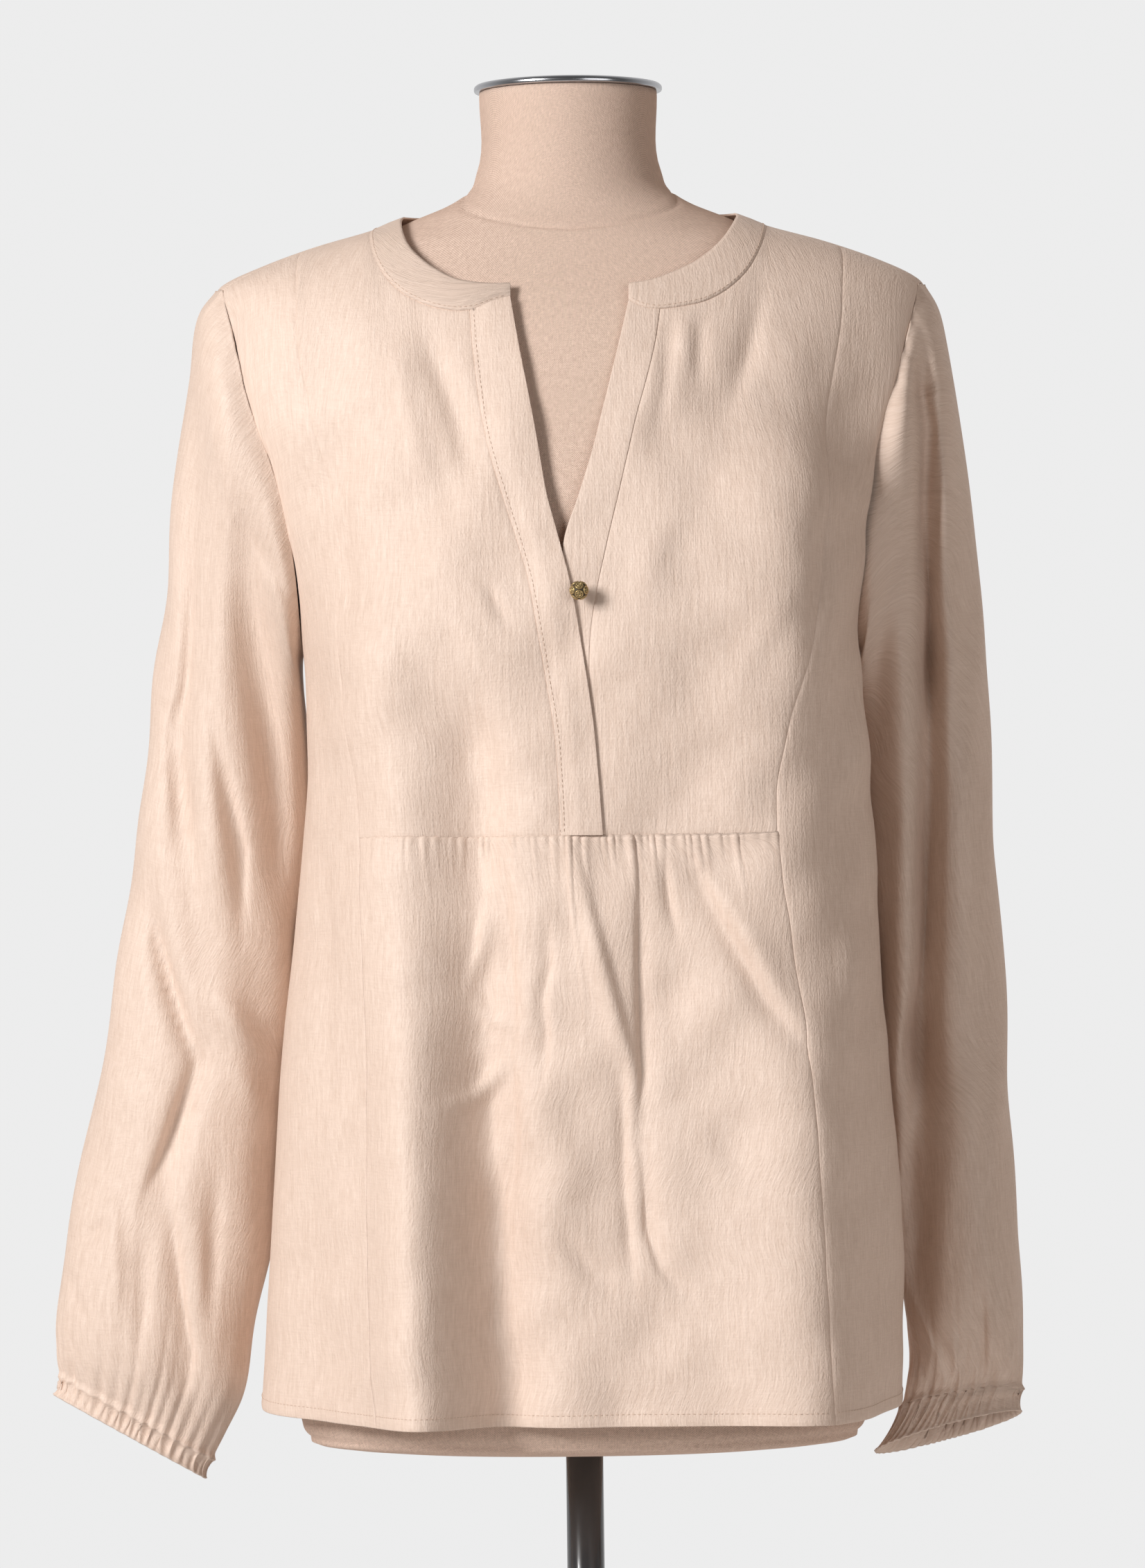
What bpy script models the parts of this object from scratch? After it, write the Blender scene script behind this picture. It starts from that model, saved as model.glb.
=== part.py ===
"""Long-sleeve blouse with a gathered front, on a limbless dress form with its stand.

Sizes in the tables are millimetres and become metres as each mesh is made.
X runs to the viewer's right, the front faces -Y and Z is up. The origin is the
middle of the base's underside. Right and left are the wearer's, so the right
side has negative X. The body's cloth is built outward from a surface of
horizontal rings, the sleeves and cuffs inward from their own outer surface.
"""
import math
from collections import namedtuple

import bmesh
import bpy
import numpy as np
from mathutils import Vector

MM = 0.001
WALL = 1.2
SEAM_INSET = 0.17
ARMHOLE_INSET = 0.35
TOUCH_GAP = 0.3
RIGHT, LEFT = -1, 1
FRONT, BACK = -1, 1

# Rings of the garment's inner surface: half widths to each side, half depths, squareness
Ring = namedtuple("Ring", "height right left front back power")
CLOTH_RINGS = (
    Ring(795, 180, 177, 140, 125, 2.2),
    Ring(900, 173, 178, 136, 119, 2.2),
    Ring(1000, 166, 170.5, 131, 111, 2.2),
    Ring(1060, 159, 166.5, 128, 106, 2.2),
    Ring(1117, 153, 164, 124.5, 102, 2.15),
    Ring(1150, 150, 161, 125, 100, 2.1),
    Ring(1180, 150, 159, 126, 100, 2.1),
    Ring(1220, 151, 156, 127.5, 101, 2.05),
    Ring(1254, 157, 160, 126.5, 104, 2),
    Ring(1284, 166, 167, 122, 107, 2),
    Ring(1327, 184, 184, 114, 110, 2),
    Ring(1353, 197, 194, 108, 110, 2),
    Ring(1377, 205, 203, 102, 108, 2),
    Ring(1395, 205, 205, 96.5, 105, 2),
    Ring(1412, 205, 205, 90, 101, 2),
    Ring(1422, 203, 202, 85, 97, 2),
    Ring(1431, 193, 192, 80, 92, 2),
    Ring(1439, 175, 175, 76, 86, 2),
    Ring(1450, 144, 144, 70, 78, 2),
    Ring(1459, 112, 112, 65, 72, 2),
    Ring(1466, 93, 93, 60.5, 67, 2),
    Ring(1475, 75, 75, 56, 62, 2),
    Ring(1484, 60, 60, 53, 58, 2),
)
FORM_RINGS = (
    Ring(776, 120, 120, 84, 84, 2.2),
    Ring(778, 142, 142, 98, 98, 2.2),
    Ring(784, 154, 154, 108, 107, 2.2),
    Ring(794, 159, 159, 112, 111, 2.2),
    Ring(850, 161, 161, 113, 112, 2.2),
    Ring(920, 158, 158, 110, 111, 2.2),
    Ring(1000, 142, 142, 100, 99, 2.2),
    Ring(1060, 126, 126, 93, 86, 2.15),
    Ring(1110, 122, 122, 94, 80, 2.1),
    Ring(1160, 130, 130, 104, 84, 2.1),
    Ring(1210, 141, 141, 117, 91, 2.05),
    Ring(1250, 149, 149, 120, 97, 2),
    Ring(1284, 157, 157, 116, 102, 2),
    Ring(1327, 171, 171, 109, 106, 2),
    Ring(1353, 181, 181, 104, 106, 2),
    Ring(1377, 189, 189, 98.5, 104.5, 2),
    Ring(1395, 193, 193, 93.5, 102, 2),
    Ring(1412, 195, 195, 86, 96.5, 2),
    Ring(1422, 192.5, 192, 80, 91.5, 2),
    Ring(1431, 185.5, 185, 74.3, 86.3, 2),
    Ring(1439, 167.6, 168, 69.5, 79.6, 2),
    Ring(1450, 135.4, 136, 63.9, 71.3, 2),
    Ring(1459, 104, 104.2, 59, 65.1, 2),
    Ring(1466, 86.8, 86.8, 55.2, 60.8, 2),
    Ring(1473, 69.5, 69.5, 53, 57.2, 2),
    Ring(1481, 57, 57, 51.5, 56, 2),
    Ring(1492, 52, 52, 50.5, 54, 2),
    Ring(1537.3, 50, 50, 50, 52, 2),
)
# Soft fullness of the bust, shared by the form and the cloth over it
Hump = namedtuple("Hump", "across height wide tall out")
BUST = (Hump(-82, 1243, 46, 62, 9), Hump(82, 1243, 46, 62, 9))

# Folds run from a top point to a foot. A fold that ends at the hem grows all the way down
Fold = namedtuple("Fold", "top_x top_z foot_x foot_z wide out at_hem")
FRONT_FOLDS = (
    Fold(-102, 1230, -94, 730, 25, 12, False),
    Fold(-58, 1190, -47, 730, 18, -9, False),
    Fold(-92, 1110, -84, 795, 24, 21, True),
    Fold(-52, 1110, -39, 795, 22, -11, True),
    Fold(22, 1110, 20, 795, 24, -6, True),
    Fold(117, 1330, 121, 730, 34, 18, False),
    Fold(108, 1130, 118, 795, 33, 15, True),
    Fold(-148, 1060, -150, 795, 13, -6, True),
    Fold(152, 1060, 156, 795, 12, -4, True),
)
BACK_FOLDS = (
    Fold(-92, 1130, -100, 795, 27, 11, True),
    Fold(-46, 1110, -50, 795, 20, -9, True),
    Fold(4, 1100, 8, 795, 24, 9, True),
    Fold(52, 1140, 58, 795, 20, -8, True),
    Fold(98, 1080, 104, 795, 24, 10, True),
)
RIGHT_SLEEVE_FOLDS = (
    Fold(-212, 1365, -222, 1120, 9, -8, False),
    Fold(-196, 1340, -200, 1080, 11, 5, False),
    Fold(-180, 1300, -166, 1090, 10, -9, False),
    Fold(-240, 1085, -214, 995, 9, -7, False),
    Fold(-206, 1040, -176, 960, 10, 5, False),
    Fold(-214, 995, -240, 905, 9, -6, False),
    Fold(-232, 915, -222, 800, 10, -5, False),
)
LEFT_SLEEVE_FOLDS = (
    Fold(195, 1405, 203, 1190, 10, -13, False),
    Fold(203, 1210, 184, 985, 10, -13, False),
    Fold(214, 1350, 215, 1120, 10, 5, False),
    Fold(176, 1290, 174, 1180, 9, -5, False),
    Fold(196, 1010, 192, 900, 10, -5, False),
    Fold(226, 980, 222, 840, 12, 4, False),
)
FOLD_FADE = 60.0
# The bust fades out behind the side seam, and each face's folds fade out towards it
BUST_FADE, FACE_FADE = 60.0, 50.0
# The folds behind a sleeve are the front's, weaker and moved in and down
BACK_FOLD_SHARE, BACK_FOLD_IN, BACK_FOLD_DOWN = 0.6, 9.0, 26.0

# Heights of the mesh rows below and above the seam under the gathers
YOKE_SEAM = 1117.5
LOWER_ROWS = (0, 0.165, 0.33, 0.495, 0.655, 0.80, 0.905, 0.965, 1)
UPPER_ROWS = (0, 0.10, 0.20, 0.295, 0.385, 0.47, 0.55, 0.63, 0.71, 0.79, 0.865, 0.935, 1)
SIDE_HEM, FRONT_HEM = 801.0, 796.0
BACK_HEM_WIDE, BACK_HEM_DEEP = 150.0, 105.0
UNDERARM = (1125.0, 1172.0, 1222.0)

# Seams seen from the front: how far across at each height
Seam = namedtuple("Seam", "height across")
PRINCESS_RIGHT = (
    Seam(790, -109), Seam(860, -113), Seam(1007, -114), Seam(1073, -115), Seam(1117.5, -116.5),
    Seam(1160, -118), Seam(1198, -122), Seam(1244, -125.5), Seam(1278, -128), Seam(1307, -134),
    Seam(1346, -142.5), Seam(1378, -149.5), Seam(1404, -152), Seam(1424, -152),
)
PRINCESS_LEFT = (
    Seam(790, 123), Seam(853, 122), Seam(929, 119.5), Seam(988, 116), Seam(1042, 112),
    Seam(1090, 106), Seam(1117.5, 103.5), Seam(1165, 106), Seam(1200, 112.5), Seam(1252, 123),
    Seam(1309, 133), Seam(1366, 143.5), Seam(1400, 149.5), Seam(1424, 151),
)
PLACKET_RIGHT_SEAM = (
    Seam(1117.5, -9), Seam(1177, -12), Seam(1214, -18), Seam(1254, -24), Seam(1290, -34),
    Seam(1309, -40), Seam(1346, -49), Seam(1386, -54), Seam(1404, -55.5),
)
PLACKET_RIGHT_EDGE = (
    Seam(1117.5, 14), Seam(1176, 10), Seam(1214, 5), Seam(1244, 0), Seam(1273, -6),
    Seam(1290, -11), Seam(1346, -21), Seam(1413, -33),
)
PLACKET_LEFT_EDGE = (
    Seam(1117.5, -2), Seam(1190, -4), Seam(1250, -6), Seam(1276, -6), Seam(1290, -2),
    Seam(1309, 5), Seam(1360, 19), Seam(1405, 30), Seam(1415, 32),
)
PLACKET_LEFT_SEAM = (
    Seam(1117.5, 9), Seam(1165, 7.5), Seam(1214, 8), Seam(1236, 9.5), Seam(1272, 17),
    Seam(1309, 26), Seam(1347, 35), Seam(1379, 44), Seam(1403, 49),
)

# The neckline from the middle of the front outward: the right half, then the left half
NeckPoint = namedtuple("NeckPoint", "across height")
NECK_LOWER_RIGHT = (
    NeckPoint(-33, 1414.5), NeckPoint(-41, 1412.5), NeckPoint(-48, 1410), NeckPoint(-55.5, 1408),
    NeckPoint(-66, 1408), NeckPoint(-79, 1411.5), NeckPoint(-92, 1418), NeckPoint(-102, 1428),
    NeckPoint(-108.5, 1440), NeckPoint(-111, 1450), NeckPoint(-111.5, 1456.5),
)
NECK_UPPER_RIGHT = (
    NeckPoint(-33, 1422.5), NeckPoint(-42, 1422.5), NeckPoint(-49, 1423), NeckPoint(-56, 1424),
    NeckPoint(-64, 1426), NeckPoint(-73, 1431), NeckPoint(-81, 1437), NeckPoint(-88, 1444.5),
    NeckPoint(-91.5, 1451.5), NeckPoint(-93, 1457.5), NeckPoint(-93.5, 1462.5),
)
NECK_LOWER_LEFT = (
    NeckPoint(32, 1412.5), NeckPoint(38, 1409), NeckPoint(43, 1407.5), NeckPoint(49, 1407),
    NeckPoint(61, 1408.5), NeckPoint(75, 1412), NeckPoint(88, 1419.5), NeckPoint(98.5, 1430),
    NeckPoint(105, 1441.5), NeckPoint(108.5, 1451), NeckPoint(110, 1457),
)
NECK_UPPER_LEFT = (
    NeckPoint(32, 1421.5), NeckPoint(39, 1422.5), NeckPoint(46, 1424), NeckPoint(53, 1426.5),
    NeckPoint(62, 1430.5), NeckPoint(71, 1435.5), NeckPoint(79, 1442), NeckPoint(85, 1448.5),
    NeckPoint(89, 1454.5), NeckPoint(91.5, 1459.5), NeckPoint(93, 1463.5),
)
PLACKET_COLUMNS, YOKE_NECK_COLUMNS, SHOULDER_COLUMNS = 3, 8, 3

# The shoulder seam lies a little forward of the ridge: across, and depth from the ridge
ShoulderPoint = namedtuple("ShoulderPoint", "across depth")
SHOULDER_SEAM = (
    ShoulderPoint(194, -20), ShoulderPoint(180, -21), ShoulderPoint(166, -21),
    ShoulderPoint(151, -20), ShoulderPoint(138, -18), ShoulderPoint(124, -15), ShoulderPoint(110, -12),
)
NECK_TOP = ShoulderPoint(92.5, -9)
# The neckline round the back, seen from above: the left half, from the shoulder seam to the middle
BACK_NECK_LOWER = (
    SHOULDER_SEAM[-1], ShoulderPoint(108.5, 3), ShoulderPoint(103, 20), ShoulderPoint(91, 37),
    ShoulderPoint(70, 52), ShoulderPoint(37, 65), ShoulderPoint(0, 70),
)
BACK_NECK_UPPER = (
    NECK_TOP, ShoulderPoint(91, 4), ShoulderPoint(85, 19), ShoulderPoint(73, 34),
    ShoulderPoint(54, 47.5), ShoulderPoint(28, 57.5), ShoulderPoint(0, 61),
)

# Armhole: depth at each height, down the front and up the back, with a last point on the ridge
ArmholeRow = namedtuple("ArmholeRow", "height depth")
ARMHOLE_FRONT = (
    ArmholeRow(1406, -36), ArmholeRow(1385, -44), ArmholeRow(1361, -48), ArmholeRow(1336, -49),
    ArmholeRow(1311, -47), ArmholeRow(1287, -42), ArmholeRow(1264, -34), ArmholeRow(1243, -23),
    ArmholeRow(1229, -11),
)
ARMHOLE_FOOT = ArmholeRow(1222, 3)
ARMHOLE_BACK = (
    ArmholeRow(1229, 18), ArmholeRow(1243, 32), ArmholeRow(1264, 44), ArmholeRow(1287, 52),
    ArmholeRow(1311, 57), ArmholeRow(1336, 59), ArmholeRow(1361, 57), ArmholeRow(1386, 50),
    ArmholeRow(1409, 34),
)
ARMHOLE_RIDGE = ShoulderPoint(199, 7)

# Sleeve sections from the armhole down: outer and inner edge, then half depths
Section = namedtuple("Section", "outer_x outer_z inner_x inner_z front back")
RIGHT_SECTIONS = (
    Section(-198, 1428, -152, 1222, 46, 56),
    Section(-209, 1414, -154, 1217, 50, 57),
    Section(-215, 1390, -154, 1210, 52, 57),
    Section(-220, 1358, -153, 1200, 52, 56),
    Section(-226, 1314, -151.5, 1186, 50, 54),
    Section(-232, 1262, -150.5, 1166, 48, 52),
    Section(-239, 1208, -151, 1138, 46, 50),
    Section(-247, 1140, -153.5, 1098, 44, 47),
    Section(-257, 1072, -158.5, 1046, 42, 45),
    Section(-270, 1000, -165, 986, 41, 43),
    Section(-283, 941, -171, 930, 40, 42),
    Section(-292, 886, -178, 878, 39, 41),
    Section(-299, 850, -186, 838, 37, 38),
    Section(-299, 832, -193, 808, 33, 34),
    Section(-298, 822, -203, 784, 26, 27),
    Section(-296, 816, -211, 768, 20, 21),
)
LEFT_SECTIONS = (
    Section(198, 1428, 157, 1222, 46, 56),
    Section(207, 1413, 160, 1217, 50, 57),
    Section(213, 1392, 161.5, 1210, 52, 57),
    Section(219, 1360, 161.5, 1200, 52, 56),
    Section(226, 1312, 160.5, 1186, 50, 54),
    Section(230.5, 1262, 159.5, 1166, 48, 52),
    Section(233, 1202, 160, 1138, 46, 50),
    Section(237, 1136, 162, 1098, 44, 47),
    Section(239.5, 1070, 166, 1046, 42, 45),
    Section(242, 1000, 171, 986, 41, 43),
    Section(245, 941, 176, 930, 40, 42),
    Section(248, 886, 180, 878, 40, 41),
    Section(249.5, 850, 181.5, 842, 38, 39),
    Section(249.5, 827, 184, 822, 34, 35),
    Section(249, 812, 183, 807, 28, 30),
    Section(248, 802, 180.5, 792.5, 22, 26),
)
RIGHT_CUFF_END = Section(-301, 806, -214, 757, 19, 20)
LEFT_CUFF_END = Section(248.5, 789, 164, 768, 23, 27)
# How much lower the back of each sleeve's end hangs than its front
RIGHT_BACK_DROP, LEFT_BACK_DROP, DROP_START = 3.0, 13.0, 0.7
# How far the sleeves swing behind the body's side, and the stretch in which they do
SLEEVE_SWING, SWING_START, SWING_REACH = 34.0, 0.06, 0.28
SLEEVE_COLUMNS, SLEEVE_ROWS, CUFF_ROWS = 42, 15, 2
SLEEVE_LENGTH, FOLD_TURN, ARMHOLE_FREE = 650.0, 1.4, 1 / 12
ARMHOLE_BLEND, SECTION_EVENING = 0.30, 0.17

# Gathers: the zigzag's height and how far it reaches down or up, longer in some waves
GATHER_WAVES, GATHER_OUT, GATHER_REACH = 44, 1.7, 17.0
GATHER_LONGER, GATHER_STEP = 0.9, 2.4
CUFF_GATHER_OUT, SLEEVE_GATHER_REACH = 1.5, 26.0
PLACKET_LIFT, NECKBAND_LIFT = 2.0, 0.9

# The form's cap, the pole, the base and the button
CAP_RADIUS, CAP_FOOT, CAP_TOP = 53.0, 1537.6, 1541.5
POLE_RADIUS, POLE_SIDES = 10.5, 24
BASE_RADIUS, BASE_THICK, BASE_EDGE = 170.0, 9.0, 2.5
FORM_SIDES, ROUND_SIDES, BUTTON_SIDES = 36, 48, 16
BUTTON_AT = Seam(1250, 2.5)
BUTTON_RADIUS, SHANK_RADIUS, BUTTON_CLEAR = 5.3, 1.5, 0.7

# The spine that cloth is draped from, and the stretch of each ray from it that is searched
SPINE_BEND, SPINE_TOP, SPINE_REACH, SPINE_SHARE = 1250.0, 50.0, 150.0, 0.75
RAY_START, RAY_END, FORM_RAY, HALVINGS = 0.3, 1.8, 4000.0, 40
SLOPE_LOW, SLOPE_HIGH = 1300.0, 1484.0
EVENING_ROUNDS = 4

CLOTH = ((0.72, 0.57, 0.47), 0.62, 0.0)
CANVAS = ((0.62, 0.48, 0.42), 0.85, 0.0)
STEEL = ((0.45, 0.45, 0.47), 0.28, 1.0)
BLACK = ((0.04, 0.04, 0.04), 0.25, 0.0)
BRASS = ((0.36, 0.25, 0.12), 0.42, 1.0)


def smooth(knots, values, at):
    """A cubic through the knots, its slope at each knot taken from the two neighbours."""
    knots, values = np.asarray(knots, float), np.asarray(values, float)
    slopes = np.gradient(values, knots)
    at = np.clip(at, knots[0], knots[-1])
    i = np.clip(np.searchsorted(knots, at) - 1, 0, len(knots) - 2)
    step = knots[i + 1] - knots[i]
    t = (at - knots[i]) / step
    rise = 3 * t ** 2 - 2 * t ** 3
    return (values[i] * (1 - rise) + values[i + 1] * rise
            + step * (t * (1 - t) ** 2 * slopes[i] - t ** 2 * (1 - t) * slopes[i + 1]))


def ease(t):
    """A soft step from 0 to 1."""
    t = np.clip(t, 0, 1)
    return t * t * (3 - 2 * t)


def column(rows, name):
    """One named column of a table."""
    return [getattr(row, name) for row in rows]


def ring_sizes(rings, x, y, z):
    """Half width, half depth and squareness of the ring through each point."""
    heights = column(rings, "height")
    wide = np.where(x < 0, smooth(heights, column(rings, "right"), z),
                    smooth(heights, column(rings, "left"), z))
    deep = np.where(y < 0, smooth(heights, column(rings, "front"), z),
                    smooth(heights, column(rings, "back"), z))
    return wide, deep, smooth(heights, column(rings, "power"), z)


def outsideness(rings, points):
    """Below 1 inside the rings' surface, above 1 outside it."""
    x, y, z = np.moveaxis(points, -1, 0)
    wide, deep, power = ring_sizes(rings, x, y, z)
    return (np.abs(x) / wide) ** power + (np.abs(y) / deep) ** power


def unit(vectors):
    """The vectors at length one."""
    return vectors / np.maximum(np.linalg.norm(vectors, axis=-1, keepdims=True), 1e-9)


def outward(rings, points):
    """Unit normals of the rings' surface, from small differences."""
    step = 0.5
    slope = np.stack([outsideness(rings, points + step * axis) - outsideness(rings, points - step * axis)
                      for axis in np.eye(3)], -1)
    return unit(slope)


def between(inside, outside, rings):
    """The points between two sets where the rings' surface lies, by halving."""
    for _ in range(HALVINGS):
        middle = (inside + outside) / 2
        within = (outsideness(rings, middle) < 1)[..., None]
        inside, outside = np.where(within, middle, inside), np.where(within, outside, middle)
    return (inside + outside) / 2


def drape(points, rings=CLOTH_RINGS):
    """Move points along rays from the body's spine until they lie on the surface."""
    x, z = points[..., 0], points[..., 2]
    over = np.maximum(z - SPINE_BEND, 0)
    spine = np.zeros_like(points)
    spine[..., 0] = SPINE_SHARE * x * ease(over / SPINE_REACH)
    spine[..., 2] = np.minimum(z, SPINE_BEND) + SPINE_TOP * (1 - np.exp(-over / SPINE_TOP))
    ray = points - spine
    return between(spine + RAY_START * ray, spine + RAY_END * ray, rings)


def at_height(across, height, face, rings=CLOTH_RINGS):
    """Points of the surface, seen from the front or back, at given places across and up."""
    across, height = np.broadcast_arrays(np.asarray(across, float), np.asarray(height, float))
    wide, deep, power = ring_sizes(rings, across, np.full(across.shape, float(face)), height)
    inner = np.clip(1 - (np.abs(across) / wide) ** power, 0, 1)
    return np.stack([across, face * deep * inner ** (1 / power), height], -1)


def at_depth(side, depth, height, rings=CLOTH_RINGS):
    """Points of the surface on one side, at given depths and heights."""
    depth, height = np.broadcast_arrays(np.asarray(depth, float), np.asarray(height, float))
    wide, deep, power = ring_sizes(rings, np.full(depth.shape, float(side)), depth, height)
    inner = np.clip(1 - (np.abs(depth) / deep) ** power, 0, 1)
    return np.stack([side * wide * inner ** (1 / power), depth, height], -1)


def on_top(across, depth, rings=CLOTH_RINGS):
    """Points of the shoulder slope, straight above given places."""
    low = np.stack([np.asarray(across, float), np.asarray(depth, float),
                    np.full(len(across), SLOPE_LOW)], -1)
    return between(low, low + (0, 0, SLOPE_HIGH - SLOPE_LOW), rings)


def fold_relief(folds, x, z):
    """Height of the folds at places seen from the front: soft ridges and troughs."""
    relief = np.zeros_like(x)
    for fold in folds:
        length = fold.top_z - fold.foot_z
        down = (fold.top_z - z) / length
        middle = fold.top_x + (fold.foot_x - fold.top_x) * np.clip(down, 0, 1)
        if fold.at_hem:
            strength = ease(down)
        else:
            strength = ease(down * length / FOLD_FADE + 0.5) * ease((1 - down) * length / FOLD_FADE + 0.5)
        relief = relief + fold.out * strength * np.exp(-((x - middle) / fold.wide) ** 2)
    return relief


def bust_relief(x, z):
    """Height of the bust's fullness at places seen from the front."""
    return sum(hump.out * np.exp(-((x - hump.across) / hump.wide) ** 2
                                 - ((z - hump.height) / hump.tall) ** 2) for hump in BUST)


def shaped(points, rings=CLOTH_RINGS, lift=0.0, folded=True):
    """The ring surface's points with the bust and a lift moved out along the normals, and the folds
    moved out halfway between the normals and straight to the front or the back."""
    x, y, z = np.moveaxis(points, -1, 0)
    out = outward(rings, points)
    relief = bust_relief(x, z) * ease(0.5 - y / BUST_FADE) + lift
    moved = points + relief[..., None] * out
    if folded:
        folds = (fold_relief(FRONT_FOLDS, x, z) * ease(-y / FACE_FADE)
                 + fold_relief(BACK_FOLDS, x, z) * ease(y / FACE_FADE))
        moved = moved + folds[..., None] * unit(out + np.sign(y)[..., None] * (0, 1, 0))
    return moved


def patch(low, high, first, last):
    """A four-sided grid between two crosswise and two upright edges, evened out and laid on the surface."""
    v = np.linspace(0, 1, len(first))[:, None, None]
    u = np.linspace(0, 1, len(low))[None, :, None]
    across = (1 - v) * low[None] + v * high[None]
    along = (1 - u) * first[:, None] + u * last[:, None]
    corners = (1 - v) * ((1 - u) * low[0] + u * low[-1]) + v * ((1 - u) * high[0] + u * high[-1])
    grid = across + along - corners
    for _ in range(EVENING_ROUNDS):
        grid[0], grid[-1], grid[:, 0], grid[:, -1] = low, high, first, last
        grid[1:-1, 1:-1] = (grid[:-2, 1:-1] + grid[2:, 1:-1] + grid[1:-1, :-2] + grid[1:-1, 2:]) / 4
    grid[1:-1, 1:-1] = drape(grid[1:-1, 1:-1])
    return grid


def inset_edge(edge, inner, amount, closed=False):
    """Points of one edge moved towards the inside of their piece, square to the edge."""
    along = np.gradient(edge, axis=0)
    if closed:
        along[0] = along[-1] = edge[1] - edge[-2]
    along /= np.linalg.norm(along, axis=-1, keepdims=True)
    inside = inner - edge
    inside = inside - (inside * along).sum(-1, keepdims=True) * along
    return edge + amount * inside / np.linalg.norm(inside, axis=-1, keepdims=True)


def inset(grid, amount=SEAM_INSET):
    """A grid with all four edges drawn in, to leave the seam's gap."""
    out = grid.copy()
    out[0] += inset_edge(grid[0], grid[1], amount) - grid[0]
    out[-1] += inset_edge(grid[-1], grid[-2], amount) - grid[-1]
    out[:, 0] += inset_edge(grid[:, 0], grid[:, 1], amount) - grid[:, 0]
    out[:, -1] += inset_edge(grid[:, -1], grid[:, -2], amount) - grid[:, -1]
    return out


def principled(name, finish):
    """A plain material with a colour, a roughness and a metallic value."""
    colour, roughness, metallic = finish
    material = bpy.data.materials.new(name)
    material.use_nodes = True
    shader = material.node_tree.nodes["Principled BSDF"]
    shader.inputs["Base Color"].default_value = (*colour, 1)
    shader.inputs["Roughness"].default_value = roughness
    shader.inputs["Metallic"].default_value = metallic
    material.diffuse_color = (*colour, 1)
    return material


def add_object(name, bm, finish):
    """Put a bmesh into the scene as one named, smoothly shaded piece."""
    mesh = bpy.data.meshes.new(name)
    bm.to_mesh(mesh)
    bm.free()
    mesh.shade_smooth()
    piece = bpy.data.objects.new(name, mesh)
    mesh.materials.append(principled(name + "_finish", finish))
    bpy.data.collections["blouse_on_form"].objects.link(piece)
    return piece


def sheet(name, grid, grow, closed=False, finish=CLOTH):
    """A grid of points as a cloth wall that grows out (1) or in (-1) from them."""
    rows, columns = grid.shape[0] - 1, grid.shape[1] - 1
    bm = bmesh.new()
    bmesh.ops.create_grid(bm, x_segments=columns, y_segments=rows, size=1)
    for vert in bm.verts:
        i = round((vert.co.y + 1) / 2 * rows)
        j = round((vert.co.x + 1) / 2 * columns)
        vert.co = Vector(grid[i, j] * MM)
    if closed:
        bmesh.ops.remove_doubles(bm, verts=bm.verts, dist=0.05 * MM)
    piece = add_object(name, bm, finish)
    solidify = piece.modifiers.new("wall", "SOLIDIFY")
    solidify.thickness = WALL * MM
    solidify.offset = grow
    return piece


def turned(name, profile, finish, steps):
    """A solid of revolution about Z from (radius, height) points that run down its outer side."""
    bm = bmesh.new()
    verts = [bm.verts.new((radius * MM, 0, height * MM)) for radius, height in profile]
    for upper, lower in zip(verts, verts[1:]):
        bm.edges.new((upper, lower))
    piece = add_object(name, bm, finish)
    screw = piece.modifiers.new("turn", "SCREW")
    screw.steps = screw.render_steps = steps
    screw.use_merge_vertices = True
    screw.merge_threshold = 0.00005
    return piece


def seam_points(seam, heights):
    """Front surface points of a seam at the given heights."""
    return at_height(smooth(column(seam, "height"), column(seam, "across"), heights), heights, FRONT)


def upper_heights(top):
    """The mesh rows' heights from the seam under the yoke to a given top."""
    return YOKE_SEAM + np.array(UPPER_ROWS) * (top - YOKE_SEAM)


def lower_heights(foot):
    """The mesh rows' heights from a given foot to the seam under the yoke."""
    return foot + np.array(LOWER_ROWS) * (YOKE_SEAM - foot)


def shoulder_points(side):
    """The shoulder seam, from the armhole to the neck."""
    return on_top(side * np.array(column(SHOULDER_SEAM, "across")), column(SHOULDER_SEAM, "depth"))


def armhole_points(side):
    """The armhole's loop: down the front from the shoulder seam, then up the back to it."""
    top = on_top([side * SHOULDER_SEAM[0].across], [SHOULDER_SEAM[0].depth])
    foot = at_depth(side, [ARMHOLE_FOOT.depth], [ARMHOLE_FOOT.height])
    front = at_depth(side, column(ARMHOLE_FRONT, "depth"), column(ARMHOLE_FRONT, "height"))
    back = at_depth(side, column(ARMHOLE_BACK, "depth"), column(ARMHOLE_BACK, "height"))
    ridge = on_top([side * ARMHOLE_RIDGE.across], [ARMHOLE_RIDGE.depth])
    return np.concatenate([top, front, foot]), np.concatenate([foot, back, ridge, top])


def side_seam(side):
    """The side seam from the hem to the foot of the armhole."""
    below = SIDE_HEM + np.array(LOWER_ROWS) * (UNDERARM[0] - SIDE_HEM)
    heights = np.concatenate([below, UNDERARM[1:]])
    depth = np.linspace(0, 1, len(heights)) * ARMHOLE_FOOT.depth
    return at_depth(side, depth, heights)


def princess(side):
    """The princess seam from the hem to the shoulder seam."""
    rows = PRINCESS_RIGHT if side == RIGHT else PRINCESS_LEFT
    top = shoulder_points(side)[SHOULDER_COLUMNS]
    heights = np.concatenate([lower_heights(FRONT_HEM), upper_heights(top[2])[1:-1]])
    return np.concatenate([seam_points(rows, heights), top[None]])


def neck_lower(side):
    """The neckline's lower edge from the front opening to the shoulder seam."""
    rows = NECK_LOWER_RIGHT if side == RIGHT else NECK_LOWER_LEFT
    front = at_height(column(rows, "across"), column(rows, "height"), FRONT)
    return np.concatenate([front, shoulder_points(side)[-1:]])


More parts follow.
